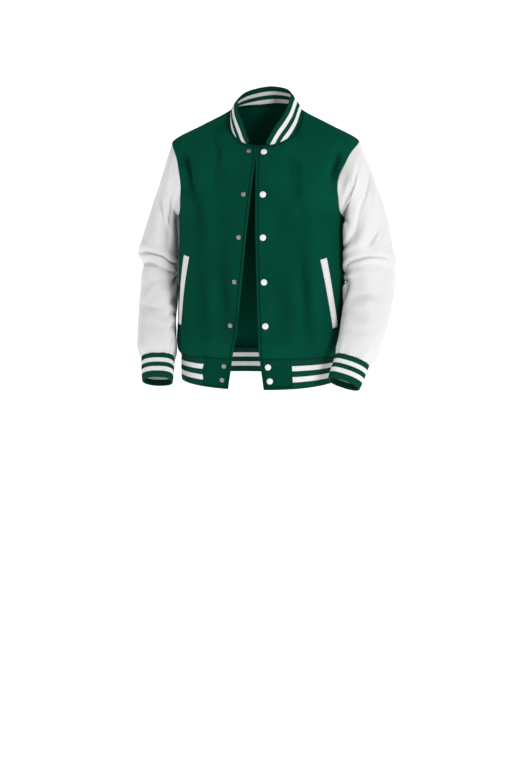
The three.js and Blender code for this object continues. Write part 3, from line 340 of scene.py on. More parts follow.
# Flat cut of each cloth node: width, length, area where it isn't a rectangle, and how it is held
CUTS = {
    "front_right": (0.25, 0.64, 0.146, "draped"),
    "front_left": (0.27, 0.64, 0.159, "draped"),
    "back": (0.56, 0.66, 0.336, "draped"),
    "sleeve_right": (0.40, 0.56, 0.171, "draped"),
    "sleeve_left": (0.42, 0.56, 0.186, "draped"),
    "cuff_right": (0.245, 0.063, None, "stretched"),
    "cuff_left": (0.26, 0.063, None, "stretched"),
    "hem_rib": (0.90, 0.068, None, "stretched"),
    "hem_block_left": (0.08, 0.075, None, "laid"),
    "hem_block_right": (0.08, 0.075, None, "laid"),
    "collar_rib": (0.49, 0.055, 0.0235, "draped"),
    "pocket_welt_right": (0.022, 0.178, None, "laid"),
    "pocket_welt_left": (0.022, 0.178, None, "laid"),
}

# Camera and floor, for a picture 512 wide and 768 high
CAMERA_PLACE = (0.46965, -4.03015, -0.10287)
CAMERA_AZIMUTH = 7.0
CAMERA_PITCH = 8.3
CAMERA_LENS = 75.0
SENSOR = 36.0
FLOOR_Z = -1.6
FLOOR_HALF = 12.0
SWEEP_Y = 4.0
SWEEP_RADIUS = 2.5
BACKDROP_HEIGHT = 6.0
VIEW_END = 60
LIGHT_AIM = (0, 0, -0.3)
LAMPS = {
    "key": {"size": (1.1, 1.1), "place": (2.8, -2.4, 1.9), "colour": (1, 0.99, 0.98)},
    "fill": {"size": (1.2, 2.0), "place": (-3.2, -0.9, 0.8), "colour": (0.98, 0.99, 1)},
}


# Form
def row_at(table, at):
    """The table's other columns at values of its first one, on a smooth curve through its rows."""
    rows = np.array(table, float)
    if rows[0, 0] > rows[-1, 0]:
        rows = rows[::-1]
    at = np.asarray(at, float)
    i = np.clip(np.searchsorted(rows[:, 0], at) - 1, 0, len(rows) - 2)
    a, b = rows[i], rows[i + 1]
    before, after = rows[np.maximum(i - 1, 0)], rows[np.minimum(i + 2, len(rows) - 1)]
    span = (b - a)[..., :1]
    t = np.clip((at[..., None] - a[..., :1]) / span, 0, 1)
    slope_a = (b - before) / (b - before)[..., :1] * span
    slope_b = (after - a) / (after - a)[..., :1] * span
    blend_b = 3 * t**2 - 2 * t**3
    curve = a * (1 - blend_b) + b * blend_b
    curve += slope_a * (t**3 - 2 * t**2 + t) + slope_b * (t**3 - t**2)
    return np.moveaxis(curve, -1, 0)[1:]


def signed_power(value, power):
    return np.sign(value) * np.abs(value) ** power


def lerp(a, b, t):
    return a + (b - a) * t


def smoothstep(value, low, high):
    t = np.clip((value - low) / (high - low), 0, 1)
    return t * t * (3 - 2 * t)


def unit(vectors):
    return vectors / np.maximum(np.linalg.norm(vectors, axis=-1, keepdims=True), 1e-12)


def plain_torso(turn, z):
    """Points of the body without folds, by the turn in degrees from the centre front."""
    shift, middle, half, front, behind, power = row_at(TORSO, z)
    sine, cosine = np.sin(np.radians(turn)), np.cos(np.radians(turn))
    depth = np.where(cosine > 0, front, behind)
    x = shift + half * signed_power(sine, 2 / power)
    y = middle - depth * signed_power(cosine, 2 / power)
    return np.stack((x, y, np.broadcast_to(z, x.shape)), axis=-1)


def torso_normal(turn, z):
    turn_step, z_step = 1.0, 0.004
    across = plain_torso(turn + turn_step, z) - plain_torso(turn - turn_step, z)
    up = plain_torso(turn, z + z_step) - plain_torso(turn, z - z_step)
    return unit(np.cross(across, up))


def curve_through(places, steps):
    """A smooth path through a few places."""
    after = np.vstack((places[1:], 2 * places[-1] - places[-2]))
    before = np.vstack((2 * places[0] - places[1], places[:-1]))
    slope = (after - before) / 2
    t = (np.arange(steps) / steps)[:, None]
    ease = 3 * t**2 - 2 * t**3
    path = []
    for a, b, from_a, to_b in zip(places, places[1:], slope, slope[1:]):
        bend = from_a * (t**3 - 2 * t**2 + t) + to_b * (t**3 - t**2)
        path.append(a * (1 - ease) + b * ease + bend)
    return np.vstack((*path, places[-1:]))


def fold_depth(first, second, folds, spread):
    """How deep the folds are at places: soft troughs that curve, fade out at their ends, change in
    width on the way, and have a low ridge along their right side."""
    at = np.stack(np.broadcast_arrays(first * spread[0], second * spread[1]), axis=-1)
    total = np.zeros(at.shape[:-1])
    for k, (places, width, depth, *other_ridge) in enumerate(folds):
        ridge = other_ridge[0] if other_ridge else USUAL_RIDGE
        path = curve_through(np.array(places) * spread, FOLD_PATH_STEPS)
        steps = np.diff(path, axis=0)
        lengths = np.linalg.norm(steps, axis=1)
        ways = np.concatenate(([0], np.cumsum(lengths))) / lengths.sum()
        margin = FOLD_MARGIN * width
        close = ((at > path.min(axis=0) - margin) & (at < path.max(axis=0) + margin)).all(-1)
        here = at[close]
        gap = np.full(len(here), np.inf)
        aside, way = np.zeros_like(gap), np.zeros_like(gap)
        for start, step, span, way0, way1 in zip(path, steps, lengths, ways, ways[1:]):
            off = here - start
            t = np.clip(off @ step / span**2, 0, 1)
            left = off - t[:, None] * step
            far = np.hypot(*left.T)
            nearer = far < gap
            gap = np.where(nearer, far, gap)
            side = np.sign(step[0] * left[:, 1] - step[1] * left[:, 0])
            aside = np.where(nearer, far * side, aside)
            way = np.where(nearer, lerp(way0, way1, t), way)
        wave = np.sin(FOLD_WAVER["pace"] * way + FOLD_WAVER["shift"] * k)
        wide = width * (1 + FOLD_WAVER["amount"] * wave)
        past = FOLD_FADE["past"]
        share = np.clip((way + past) / (1 + 2 * past), 0, 1)
        fade = np.sin(np.pi * share) ** FOLD_FADE["power"]
        trough = np.exp(-((gap / wide) ** 2))
        crest = np.exp(-(((aside + RIDGE_ASIDE * wide) / (RIDGE_WIDTH * wide)) ** 2))
        total[close] += depth * fade * (trough - ridge * crest)
    return total


def torso(turn, z):
    """Points of the body with its folds."""
    depth = fold_depth((turn + 180) % 360 - 180, z, BODY_FOLDS, BODY_SPREAD)
    return plain_torso(turn, z) - torso_normal(turn, z) * depth[..., None]


def turn_of(x, z, behind=False):
    """The turn at which the body has a given x, in front or behind."""
    shift, _, half, _, _, power = row_at(TORSO, z)
    share = np.clip((x - shift) / half, -1, 1)
    turn = np.degrees(np.arcsin(signed_power(share, power / 2)))
    return np.where(turn < 0, -180, 180) - turn if behind else turn


def front_edge_turn(side, z):
    right, left = row_at(FRONT_EDGES, z)
    return turn_of(left if side > 0 else right, z)


def neck_seam(turn):
    """The neck seam's x and height."""
    sine, cosine = np.sin(np.radians(turn)), np.cos(np.radians(turn))
    drop = np.where(cosine > 0, -NECK_DROP, BACK_NECK_RISE)
    return NECK_HALF * signed_power(sine, 2 / NECK_POWER), drop * np.abs(cosine) ** (2 / NECK_POWER)


def half_panel(side, behind):
    """Turns, heights and coarse columns of one half of a body panel: rows from the hem to the top
    edge, columns from the front edge or centre back to the side seam and armhole."""
    neck_columns = NECK_COLUMNS["back" if behind else "front"]
    last = neck_columns + SHOULDER_COLUMNS
    column = np.linspace(0, last, last * COLUMN_STEPS + 1)
    s = column / last

    def start_turn(z):
        return np.full(np.shape(z), side * 180.0) if behind else front_edge_turn(side, z)

    lower_z = lerp(HEM_SEAM_Z, ARMPIT_Z, (np.arange(LOWER_ROWS) / LOWER_ROWS) ** LOWER_CROWDING)[:, None]
    lower_turn = lerp(start_turn(lower_z), side * 90, s)

    # Above the armpit the places are blended from the four borders.
    neck_x = row_at(FRONT_EDGES, -NECK_DROP)[1 if side > 0 else 0]
    edge_turn = math.degrees(math.asin(signed_power(neck_x / NECK_HALF, NECK_POWER / 2)))
    neck_start = side * 180 if behind else edge_turn
    on_neck = np.clip(column / neck_columns, 0, 1)
    seam_x, seam_z = neck_seam(lerp(neck_start, side * 90, on_neck))
    on_shoulder = np.clip((column - neck_columns) / SHOULDER_COLUMNS, 0, 1)
    is_neck = column < neck_columns
    top_z = np.where(is_neck, seam_z, TIP_Z * on_shoulder)
    top_turn = np.where(is_neck, turn_of(seam_x, top_z, behind), side * 90.0)
    top_x = np.where(is_neck, seam_x, plain_torso(side * 90.0, top_z)[..., 0])
    t = (np.arange(UPPER_ROWS + 1) / UPPER_ROWS)[:, None]
    height, hole_front, hole_back = row_at(ARMHOLE, 1 - t)
    far = {"z": height, "turn": side * (hole_back if behind else hole_front)}
    far["x"] = plain_torso(far["turn"], far["z"])[..., 0]
    near = {"z": lerp(ARMPIT_Z, top_z[0], t)}
    near["turn"] = start_turn(near["z"])
    near["x"] = plain_torso(near["turn"], near["z"])[..., 0]
    low = {"turn": lerp(start_turn(np.array(ARMPIT_Z)), side * 90, s)}
    low["z"] = np.full_like(s, ARMPIT_Z)
    low["x"] = plain_torso(low["turn"], low["z"])[..., 0]
    top = {"turn": top_turn, "z": top_z, "x": top_x}

    def mix(key):
        corners = lerp(lerp(low[key][0], low[key][-1], s), lerp(top[key][0], top[key][-1], s), t)
        return lerp(low[key], top[key], t) + lerp(near[key], far[key], s) - corners

    z = mix("z")
    by_turn = np.maximum(
        smoothstep(s, *TURN_SHARES["across"]), smoothstep(t, *TURN_SHARES["up"])
    )
    turn = lerp(turn_of(mix("x"), z, behind), mix("turn"), by_turn)
    turn[-1] = top_turn
    turn[:, :1] = near["turn"]
    turn[:, -1:] = far["turn"]
    turns = np.vstack((lower_turn, turn))
    heights = np.vstack((np.broadcast_to(lower_z, lower_turn.shape), z))
    return turns, heights, np.broadcast_to(column, turns.shape)


def cloth_points(turn, z, column, gather):
    """Points of a body panel, with the gathers that stand out above the hem rib."""
    signed = (turn + 180) % 360 - 180
    rise = np.clip(1 - (z - HEM_SEAM_Z) / GATHER_REACH, 0, 1)
    ribbed = smoothstep(np.abs(signed), *GATHER_TURNS)
    amount = GATHER_UNEVEN["amount"]
    uneven = 1 - amount + amount * np.sin(signed * GATHER_UNEVEN["pace"])
    broad = np.sin(column * np.pi / 2) ** 2 * rise ** GATHER_POWERS["broad"]
    drift = np.sin(signed * HEM_RIPPLES["drift"])
    small = np.sin(column * HEM_RIPPLES["pace"] * np.pi + drift) ** 2 * rise ** GATHER_POWERS["small"]
    drawn = smoothstep(z - HEM_SEAM_Z, -GATHER_EASE, GATHER_EASE)
    relief = gather * uneven * ribbed * (broad + HEM_RIPPLES["amount"] * small) * drawn
    return torso(turn, z) + torso_normal(turn, z) * relief[..., None]


def lengths_along(chain):
    """How far along a chain each of its points lies."""
    return np.concatenate(([0], np.cumsum(np.linalg.norm(np.diff(chain, axis=0), axis=1))))


def even_along(chain, places):
    """Values of a chain at given lengths along its first three columns."""
    ways = lengths_along(chain[:, :3])
    return np.stack([np.interp(places, ways, column) for column in chain.T], axis=-1)


def armhole_point(side, round_turn):
    """The armhole seam by degrees round the sleeve, from the shoulder tip down the front and up
    behind."""
    front = round_turn <= 180
    part = np.where(front, round_turn / 180, 2 - round_turn / 180)
    height, hole_front, hole_back = row_at(ARMHOLE, part)
    return torso(side * np.where(front, hole_front, hole_back), height)


def ring_points(ring, side, round_turn):
    """Points of a sleeve's ring, by degrees from its outer line towards the front."""
    out_x, out_z, in_x, in_z, y, deep, tip, skew = ring
    sine, cosine = np.sin(np.radians(round_turn)), np.cos(np.radians(round_turn))
    flat = np.where(cosine < 0, 2 / INNER_SIDE_POWER, 1)
    outward, forward = signed_power(cosine, flat), signed_power(sine, flat)
    x = side * ((out_x + in_x) / 2 + outward * (out_x - in_x) / 2 - skew * sine)
    z = (out_z + in_z) / 2 + outward * (out_z - in_z) / 2
    z = z + forward * deep * np.sin(np.radians(tip))
    return np.stack((x, y - forward * deep * np.cos(np.radians(tip)), z), axis=-1)


def grid_normals(points, closed):
    """Outward normals of a grid whose columns run to the right and whose rows run up."""
    if closed:
        across = np.roll(points, -1, axis=1) - np.roll(points, 1, axis=1)
    else:
        across = np.gradient(points, axis=1)
    return unit(np.cross(across, np.gradient(points, axis=0)))


def sleeve_form(side, table, folds, gather):
    """A sleeve's rows from the wrist up to the armhole, as rings of points, and its last ring
    without the gathers."""
    count = ARMHOLE_COLUMNS * SLEEVE_COLUMN_STEPS
    round_turn = 360 * np.arange(count) / count
    seam = armhole_point(side, round_turn)
    along = (np.arange(SLEEVE_ROWS, -1, -1) / SLEEVE_ROWS)[:, None]
    ring = row_at(table, np.maximum(along, table[0][0]))
    leave = np.sin(np.clip(along / SEAM_REACH, 0, 1) * np.pi / 2)[..., None]
    points = lerp(seam, ring_points(ring, side, round_turn), leave)
    if side > 0:
        order = -np.arange(count) % count
        points, round_turn = points[:, order], round_turn[order]
    normals = grid_normals(points, True)
    depth = sum(
        fold_depth(round_turn + lap, along, folds, SLEEVE_SPREAD)
        for lap in (-360, 0, 360)
    )
    ends = np.clip(np.minimum(along, 1 - along) / FOLD_END, 0, 1)
    points = points - normals * (depth * ends)[..., None]
    plain_end = points[0].copy()
    pinch = np.clip((along - WRIST_START) / (1 - WRIST_START), 0, 1)
    column = round_turn * ARMHOLE_COLUMNS / 360
    drift = WRIST_DRIFT["amount"] * np.sin(column * WRIST_DRIFT["pace"])
    broad = np.sin(column * np.pi / 2 + drift) ** 2
    ripple = np.sin(column * WRIST_RIPPLES["pace"] * np.pi) ** 2
    small = WRIST_RIPPLES["amount"] * ripple * pinch**2
    relief = gather * pinch * (broad + small)
    points = points + grid_normals(points, True) * relief[..., None]
    return points, plain_end


def rib_relief(column, relief):
    """How far a rib stands out, by the count of ribs along it."""
    return relief * np.sin(np.pi * column) ** 2


def arc(values):
    """Lengths along each row of a grid of points."""
    steps = np.linalg.norm(np.diff(values, axis=1), axis=2)
    return np.hstack((np.zeros((len(values), 1)), np.cumsum(steps, axis=1)))


# Meshes
def grid_object(name, points, uv_maps, closed=False):
    """A sheet from a grid of outer points. A closed one's last column lies on its first."""
    if closed:
        points = np.concatenate((points, points[:, :1]), axis=1)
    rows, columns = points.shape[:2]
    shape = bmesh.new()
    bmesh.ops.create_grid(shape, x_segments=columns - 1, y_segments=rows - 1, size=0.5)
    for vertex, place in zip(shape.verts, points.reshape(-1, 3)):
        vertex.co = place
    for map_name, values in uv_maps.items():
        layer = shape.loops.layers.uv.new(map_name)
        flat = values.reshape(-1, 2)
        shape.verts.index_update()
        for face in shape.faces:
            for loop in face.loops:
                loop[layer].uv = flat[loop.vert.index]
    if closed:
        bmesh.ops.remove_doubles(shape, verts=shape.verts, dist=MERGE_DISTANCE)
    return finished(name, shape)


def finished(name, shape):
    """An object at the origin from a bmesh."""
    for face in shape.faces:
        face.smooth = True
    mesh = bpy.data.meshes.new(name)
    shape.to_mesh(mesh)
    shape.free()
    piece = bpy.data.objects.new(name, mesh)
    bpy.context.scene.collection.objects.link(piece)
    return piece


def give_wall(piece, thickness, rounding):
    """A wall of cloth behind a sheet, with rounded edges."""
    wall = piece.modifiers.new("Wall", "SOLIDIFY")
    wall.thickness = thickness
    wall.offset = -1
    wall.use_rim = True
    if rounding:
        edge = piece.modifiers.new("Rounded edge", "BEVEL")
        edge.width = rounding
        edge.segments = 2
        edge.limit_method = "ANGLE"
        edge.angle_limit = math.radians(60)
        edge.profile = 0.5


def seam_map(points, chain):
    """For each point, how far along a seam its nearest place is, and how far off it lies."""
    flat = points.reshape(-1, 3)
    ways = lengths_along(chain)
    near = np.empty((len(flat), 2))
    for first in range(0, len(flat), 2000):
        block = flat[first : first + 2000]
        gaps = np.linalg.norm(block[:, None] - chain[None], axis=2)
        nearest = gaps.argmin(axis=1)
        near[first : first + 2000] = np.stack((ways[nearest], gaps.min(axis=1)), axis=1)
    return near.reshape(*points.shape[:2], 2)


def smoothed(grid, axis, closed=False):
    """A grid whose points move half way to the middle of their two neighbours along an axis."""
    pad = [(0, 0)] * grid.ndim
    pad[axis] = (1, 1)
    wide = np.swapaxes(np.pad(grid, pad, mode="wrap" if closed else "edge"), 0, axis)
    return grid / 2 + np.swapaxes(wide[2:] + wide[:-2], 0, axis) / 4


def hollow_map(points, closed=False):
    """How far each point lies below the cloth around it, against a full hollow's depth."""
    around = points
    for _ in range(HOLLOW_PASSES):
        around = smoothed(smoothed(around, 1, closed), 0)
    below = ((around - points) * grid_normals(points, closed)).sum(axis=-1)
    if closed:
        below = np.hstack((below, below[:, :1]))
    return np.stack((below / FULL_HOLLOW, np.zeros_like(below)), axis=-1)


def dress(piece, node, material):
    """The piece takes its node's place and gets its finish."""
    piece.data.materials.append(material)
    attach(piece, "root")
    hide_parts(node)
    node in CUTS


# Shader maths
class Value:
    """A shader socket. Arithmetic on it adds Math nodes."""

    def __init__(self, tree, socket):
        self.tree = tree
        self.socket = socket

    def node(self, kind, settings=None, inputs=None, output=0):
        """The output of a new node, given its settings and the values or links of its sockets."""
        made = self.tree.nodes.new(kind)
        for key, value in (settings or {}).items():
            setattr(made, key, value)
        for key, value in (inputs or {}).items():
            if isinstance(value, Value):
                self.tree.links.new(value.socket, made.inputs[key])
            else:
                made.inputs[key].default_value = value
        return Value(self.tree, made.outputs[output])

    def maths(self, operation, *others):
        return self.node("ShaderNodeMath", {"operation": operation}, dict(enumerate((self, *others))))

    def __add__(self, other):
        return self.maths("ADD", other)

    def __sub__(self, other):
        return self.maths("SUBTRACT", other)

    def __rsub__(self, other):
        return self.node("ShaderNodeMath", {"operation": "SUBTRACT"}, {0: other, 1: self})

    def __mul__(self, other):
        return self.maths("MULTIPLY", other)

    def __truediv__(self, other):
        return self.maths("DIVIDE", other)

    def __pow__(self, other):
        return self.maths("POWER", other)

    __radd__ = __add__
    __rmul__ = __mul__

    def over(self, edge, soft):
        """0 below an edge and 1 above it, with a soft step between."""
        settings = {"interpolation_type": "SMOOTHSTEP"}
        limits = {"Value": self, "From Min": edge - soft, "From Max": edge + soft}
        return self.node("ShaderNodeMapRange", settings, limits)

    def within(self, low, high, soft):
        """1 between two edges."""
        return self.over(low, soft) * (1 - self.over(high, soft))


class Finish:
    """A material with one Principled shader, whose sockets are then given values or links."""

    def __init__(self, name):
        self.material = bpy.data.materials.new(name)
        self.material.use_nodes = True
        self.tree = self.material.node_tree
        self.shader = self.tree.nodes["Principled BSDF"]
        self.start = Value(self.tree, None)
        place = self.start.node("ShaderNodeTexCoord", output="Object")
        self.place = place

    def noise(self, scale, detail=3.0, place=None, stretch=None):
        """Noise from 0 to 1. Stretch squeezes the place along its axes first."""
        at = place or self.place
        if stretch:
            at = self.start.node("ShaderNodeMapping", inputs={"Vector": at, "Scale": stretch})
        sockets = {"Vector": at, "Scale": scale, "Detail": detail}
        return self.start.node("ShaderNodeTexNoise", inputs=sockets)

    def uv(self, name):
        """The two coordinates of one of the piece's own UV maps."""
        pair = self.start.node("ShaderNodeUVMap", {"uv_map": name})
        return [self.start.node("ShaderNodeSeparateXYZ", inputs={0: pair}, output=k) for k in (0, 1)]

    def mix(self, factor, first, second):
        settings = {"data_type": "RGBA"}
        sockets = {0: factor, 6: first, 7: second}
        return self.start.node("ShaderNodeMix", settings, sockets, output=2)

    def bump(self, height, distance, strength=1.0, normal=None):
        sockets = {"Height": height, "Distance": distance, "Strength": strength}
        if normal:
            sockets["Normal"] = normal
        return self.start.node("ShaderNodeBump", inputs=sockets)

    def give(self, **sockets):
        """Sets the shader's sockets by name, with underscores for spaces."""
        for key, value in sockets.items():
            socket = self.shader.inputs[key.replace("_", " ")]
            if isinstance(value, Value):
                self.tree.links.new(value.socket, socket)
            else:
                socket.default_value = value
        return self.material


def shade(colour, factor):
    """A colour made lighter or darker."""
    return (*(min(1.0, part * factor) for part in colour[:3]), 1.0)


def stitch_row(along, off, inset):
    """A row of stitches beside a seam: where the thread lies, and where the cloth is drawn down."""
    thread = off.within(inset - THREAD_HALF, inset + THREAD_HALF, 0.00015)
    phase = (along * (1 / STITCH_PITCH)).maths("FRACT")
    drawn = off.within(inset - DRAWN_HALF, inset + DRAWN_HALF, 0.0009)
    return thread * phase.within(0.12, 0.88, 0.06), drawn


def wool_finish(name, colour, rows, joins, shade_folds=True):
    """Melton wool: a short matted nap with faint flecks, painted shade in its folds and painted highlight
    on their ridges, with rows of stitches at an inset beside some edges whose drawn-down grooves get
    painted shade, and a furrow of painted shade along the ones that join another piece."""
    finish = Finish(name)
    cloudy = finish.noise(14.0, 4.0)
    fleck = finish.noise(620.0, 2.0)
    hairs = finish.noise(430.0, 3.0, stretch=(1.0, 1.0, 0.28))
    tone = finish.mix(cloudy, shade(colour, 0.86), shade(colour, 1.14))
    tone = finish.mix(fleck.over(0.64, 0.08) * 0.35, tone, shade(colour, 1.7))
    tone = finish.mix((0.4 - fleck).over(0.04, 0.05) * 0.5, tone, shade(colour, 0.6))
    if shade_folds:
        # Painted shade in the folds' troughs and painted highlight on their ridges, by how far the cloth
        # lies below or above the cloth around it
        hollow, _ = finish.uv("Hollow")
        tone = finish.mix(hollow.over(0.4, 0.5) * 0.7, tone, shade(colour, 0.3))
        tone = finish.mix((hollow * -1).over(0.35, 0.35) * 0.4, tone, shade(colour, 1.6))
    height = hairs * 0.6 + fleck * 0.4
    for edge, inset in rows:
        along, off = finish.uv(edge)
        thread, drawn = stitch_row(along, off, inset)
        # Painted shade in the groove that the stitches draw down; the thread is lighter in its own colour
        tone = finish.mix(drawn * 0.85, tone, shade(colour, 0.2))
        tone = finish.mix(thread * 0.8, tone, shade(colour, 1.25))
        height = height - drawn * 4.0 + thread * 1.6
    # A furrow of painted shade along the edges that join another piece
    for edge in joins:
        _, off = finish.uv(edge)
        tone = finish.mix((1 - off.over(FURROW, FURROW)) * 0.85, tone, shade(colour, 0.2))
    normal = finish.bump(height, 0.00035, 0.8)
    rough = 0.86 + fleck * 0.12
    return finish.give(
        Base_Color=tone,
        Roughness=rough,
        Normal=normal,
        Sheen_Weight=0.02,
        Sheen_Roughness=0.35,
        Sheen_Tint=shade(colour, 8.0),
        Specular_IOR_Level=0.03,
    )


def leather_finish(name, colour, seams=()):
    """Smooth white leather with a fine pebbled grain and painted shade in its creases. Only the sleeves
    have creases and the welts have seams, whose drawn-down grooves get painted shade."""
    finish = Finish(name)
    cell_sockets = {"Vector": finish.place, "Scale": 620.0, "Randomness": 0.9}
    settings = {"feature": "SMOOTH_F1"}
    pebble = finish.start.node("ShaderNodeTexVoronoi", settings, cell_sockets)
    wrinkle = finish.noise(90.0, 4.0, stretch=(1.0, 1.0, 2.2))
    cloudy = finish.noise(9.0, 3.0)
    tone = finish.mix(cloudy, shade(colour, 0.97), shade(colour, 1.02))
    tone = finish.mix(pebble.over(0.55, 0.2) * 0.10, tone, shade(colour, 0.84))
    if not seams:
        # Painted shade in the sleeves' creases, by how far the leather lies below the leather around it
        hollow, _ = finish.uv("Hollow")
        tone = finish.mix(hollow.over(0.6, 0.5) * 0.55, tone, shade(colour, 0.5))
    height = (1 - pebble) * 0.7 + wrinkle * 0.5
    for seam, inset in seams:
        along, off = finish.uv(seam)
        thread, drawn = stitch_row(along, off, inset)
        # Painted shade in the groove that the welt's stitches draw down
        tone = finish.mix(drawn * 0.25, tone, shade(colour, 0.75))
        height = height - drawn * 2.0 + thread * 1.5
    return finish.give(
        Base_Color=tone,
        Roughness=0.44 + cloudy * 0.10 + pebble * 0.06,
        Normal=finish.bump(height, 0.00022, 0.7),
        Specular_IOR_Level=0.4,
    )


def rib_finish(name, colour, stripe_colour, stripes, length=None):
    """Rib knit with knitted-in stripes. The map Knit is in metres, and the map Stripes runs up from
    0 to 1 against the stripes' shares. On a strip of a given length they stop short of its ends."""
    finish = Finish(name)
    across, up = finish.uv("Knit")
    rib, share = finish.uv("Stripes")
    loops = (rib * (4 * math.pi)).maths("SINE").maths("ABSOLUTE")
    turns = (up + loops * (KNIT_COURSE * 0.45)) * (2 * math.pi / KNIT_COURSE)
    rows = turns.maths("SINE")
    edge = share + loops * 0.003
    mask = sum(edge.within(low, high, STRIPE_SOFTNESS) for low, high in stripes)
    if length:
        mask = mask * across.within(STRIPE_MARGIN, length - STRIPE_MARGIN, 0.0006)
    cloudy = finish.noise(40.0, 3.0)
    dark = finish.mix(cloudy, shade(colour, 0.85), shade(colour, 1.15))
    pale = finish.mix(cloudy, shade(stripe_colour, 0.95), shade(stripe_colour, 1.03))
    tone = finish.mix(mask, dark, pale)
    valley = (rib * (2 * math.pi)).maths("COSINE").over(0.4, 0.6)
    valley = valley * (0.35 - mask * 0.29)
    tone = finish.mix(valley, tone, RIB_SHADOW)
    fibre = finish.noise(900.0, 2.0)
    height = rows * 0.12 + loops * 0.35 + fibre * 0.4
    return finish.give(
        Base_Color=tone,
        Roughness=0.85 + fibre * 0.1,
        Normal=finish.bump(height, 0.00035, 0.7),
        Sheen_Weight=0.02,
        Sheen_Roughness=0.4,
        Sheen_Tint=shade(colour, 8.0),
        Specular_IOR_Level=0.1,
    )


def cap_finish(name, colour):
    """Glossy enamel with a few faint scuffs."""
    finish = Finish(name)
    scuff = finish.noise(240.0, 5.0)
    cloudy = finish.noise(60.0, 2.0)
    return finish.give(
        Base_Color=finish.mix(scuff.over(0.66, 0.06) * 0.2, shade(colour, 1.0), shade(colour, 0.8)),
        Roughness=0.24 + scuff * 0.12,
        Normal=finish.bump(cloudy, 0.0001, 0.4),
        Coat_Weight=0.3,
    )


def metal_finish(name, colour):
    """Worn nickel."""
    finish = Finish(name)
    scuff = finish.noise(500.0, 5.0)
    cloudy = finish.noise(120.0, 3.0)
    return finish.give(
        Base_Color=finish.mix(cloudy, shade(colour, 0.75), shade(colour, 1.1)),
        Roughness=0.28 + scuff * 0.25,
        Metallic=1.0,
        Normal=finish.bump(scuff, 0.00008, 0.5),
    )


def floor_finish(name, colour):
    """Matt paper, a little uneven in tone."""
    finish = Finish(name)
    cloudy = finish.noise(0.8, 3.0)
    tooth = finish.noise(300.0, 2.0)
    return finish.give(
        Base_Color=finish.mix(cloudy, shade(colour, 0.99), shade(colour, 1.0)),
        Roughness=0.9 + tooth * 0.08,
        Normal=finish.bump(tooth, 0.0001, 0.3),
        Specular_IOR_Level=0.1,
        Emission_Color=(1, 1, 1, 1),
        Emission_Strength=0.62,
    )


# Settings that a user would change
def length(label, text, default):
    return bpy.props.FloatProperty(
        name=label, description=text, default=default, min=0, precision=4, unit="LENGTH"
    )


def colour_property(label, text, default):
    return bpy.props.FloatVectorProperty(
        name=label, description=text, default=default, size=3, min=0, max=1, subtype="COLOR"
    )


class JacketSizes(bpy.types.PropertyGroup):
    """Thicknesses and reliefs of the jacket's cloth."""

    wool_wall: length("Wool thickness", "Thickness of the body's cloth", 0.0026)
    leather_wall: length("Leather thickness", "Thickness of the sleeves", 0.0022)
    rib_wall: length("Rib thickness", "Thickness of the rib knit between ribs", 0.0032)
    rib_pitch: length("Rib pitch", "Distance from one rib to the next", 0.005)
    rib_relief: length("Rib relief", "How far a rib stands out", 0.0009)
    hem_gather: length("Hem gathers", "How far the body's gathers stand out", 0.0032)
    wrist_gather: length("Wrist gathers", "How far the sleeves' gathers stand out", 0.0024)
    edge_rounding: length("Edge rounding", "Rounding of the cloth's edges", 0.0009)
    stitch_inset: length("Stitch inset", "Distance of the stitch rows from the edges", 0.0065)


class JacketColours(bpy.types.PropertyGroup):
    """Colours of the jacket's materials."""

    wool: colour_property("Wool", "Colour of the body", (0.0008, 0.052, 0.031))
    rib: colour_property("Rib", "Ground colour of the ribs", (0.0010, 0.062, 0.039))
    stripe: colour_property("Stripes", "Colour of the ribs' stripes", (0.86, 0.86, 0.85))
    leather: colour_property("Leather", "Colour of the sleeves and welts", (0.76, 0.758, 0.756))
    cap: colour_property("Snap caps", "Colour of the snaps' caps", (0.86, 0.86, 0.85))
    metal: colour_property("Snap studs", "Colour of the snaps' studs", (0.42, 0.41, 0.39))
    floor: colour_property("Floor", "Colour of the floor", (0.93, 0.93, 0.93))


class JacketStudio(bpy.types.PropertyGroup):
    """Lights of the stage."""

    sky: bpy.props.FloatProperty(name="Sky", description="Even light from all sides", default=0.24)
    key: bpy.props.FloatProperty(
        name="Key light", description="Power of the light at the front right", default=108, unit="POWER"
    )
    fill: bpy.props.FloatProperty(
        name="Fill light", description="Power of the light at the left", default=34, unit="POWER"
    )


class Build:
    """What the jacket's operators share."""

    bl_options = {"REGISTER", "UNDO"}

    @property
    def sizes(self):
        return bpy.context.scene.jacket_sizes

    @property
    def colours(self):
        return bpy.context.scene.jacket_colours


def add_wool(build, node, points, edges, stitched, joined, shade_folds=True):
    """A panel of wool, stitched beside some of its named edges and joined at others."""
    sizes = build.sizes
    maps = {edge: seam_map(points, chain) for edge, chain in edges.items()}
    # The Hollow map carries the painted shade and painted highlight of the folds
    if shade_folds:
        maps["Hollow"] = hollow_map(points)
    piece = grid_object("wool_" + node, points, maps)
    give_wall(piece, sizes.wool_wall, sizes.edge_rounding)
    rows = [(edge, sizes.stitch_inset) for edge in stitched]
    title = "Wool " + node.replace("_", " ")
    dress(piece, node, wool_finish(title, build.colours.wool, rows, joined, shade_folds))


def front_rows(name, gather):
    """A front's points, with columns towards +X."""
    side = 1 if name == "left" else -1
    points = cloth_points(*half_panel(side, False), gather)
    return points if side > 0 else points[:, ::-1]


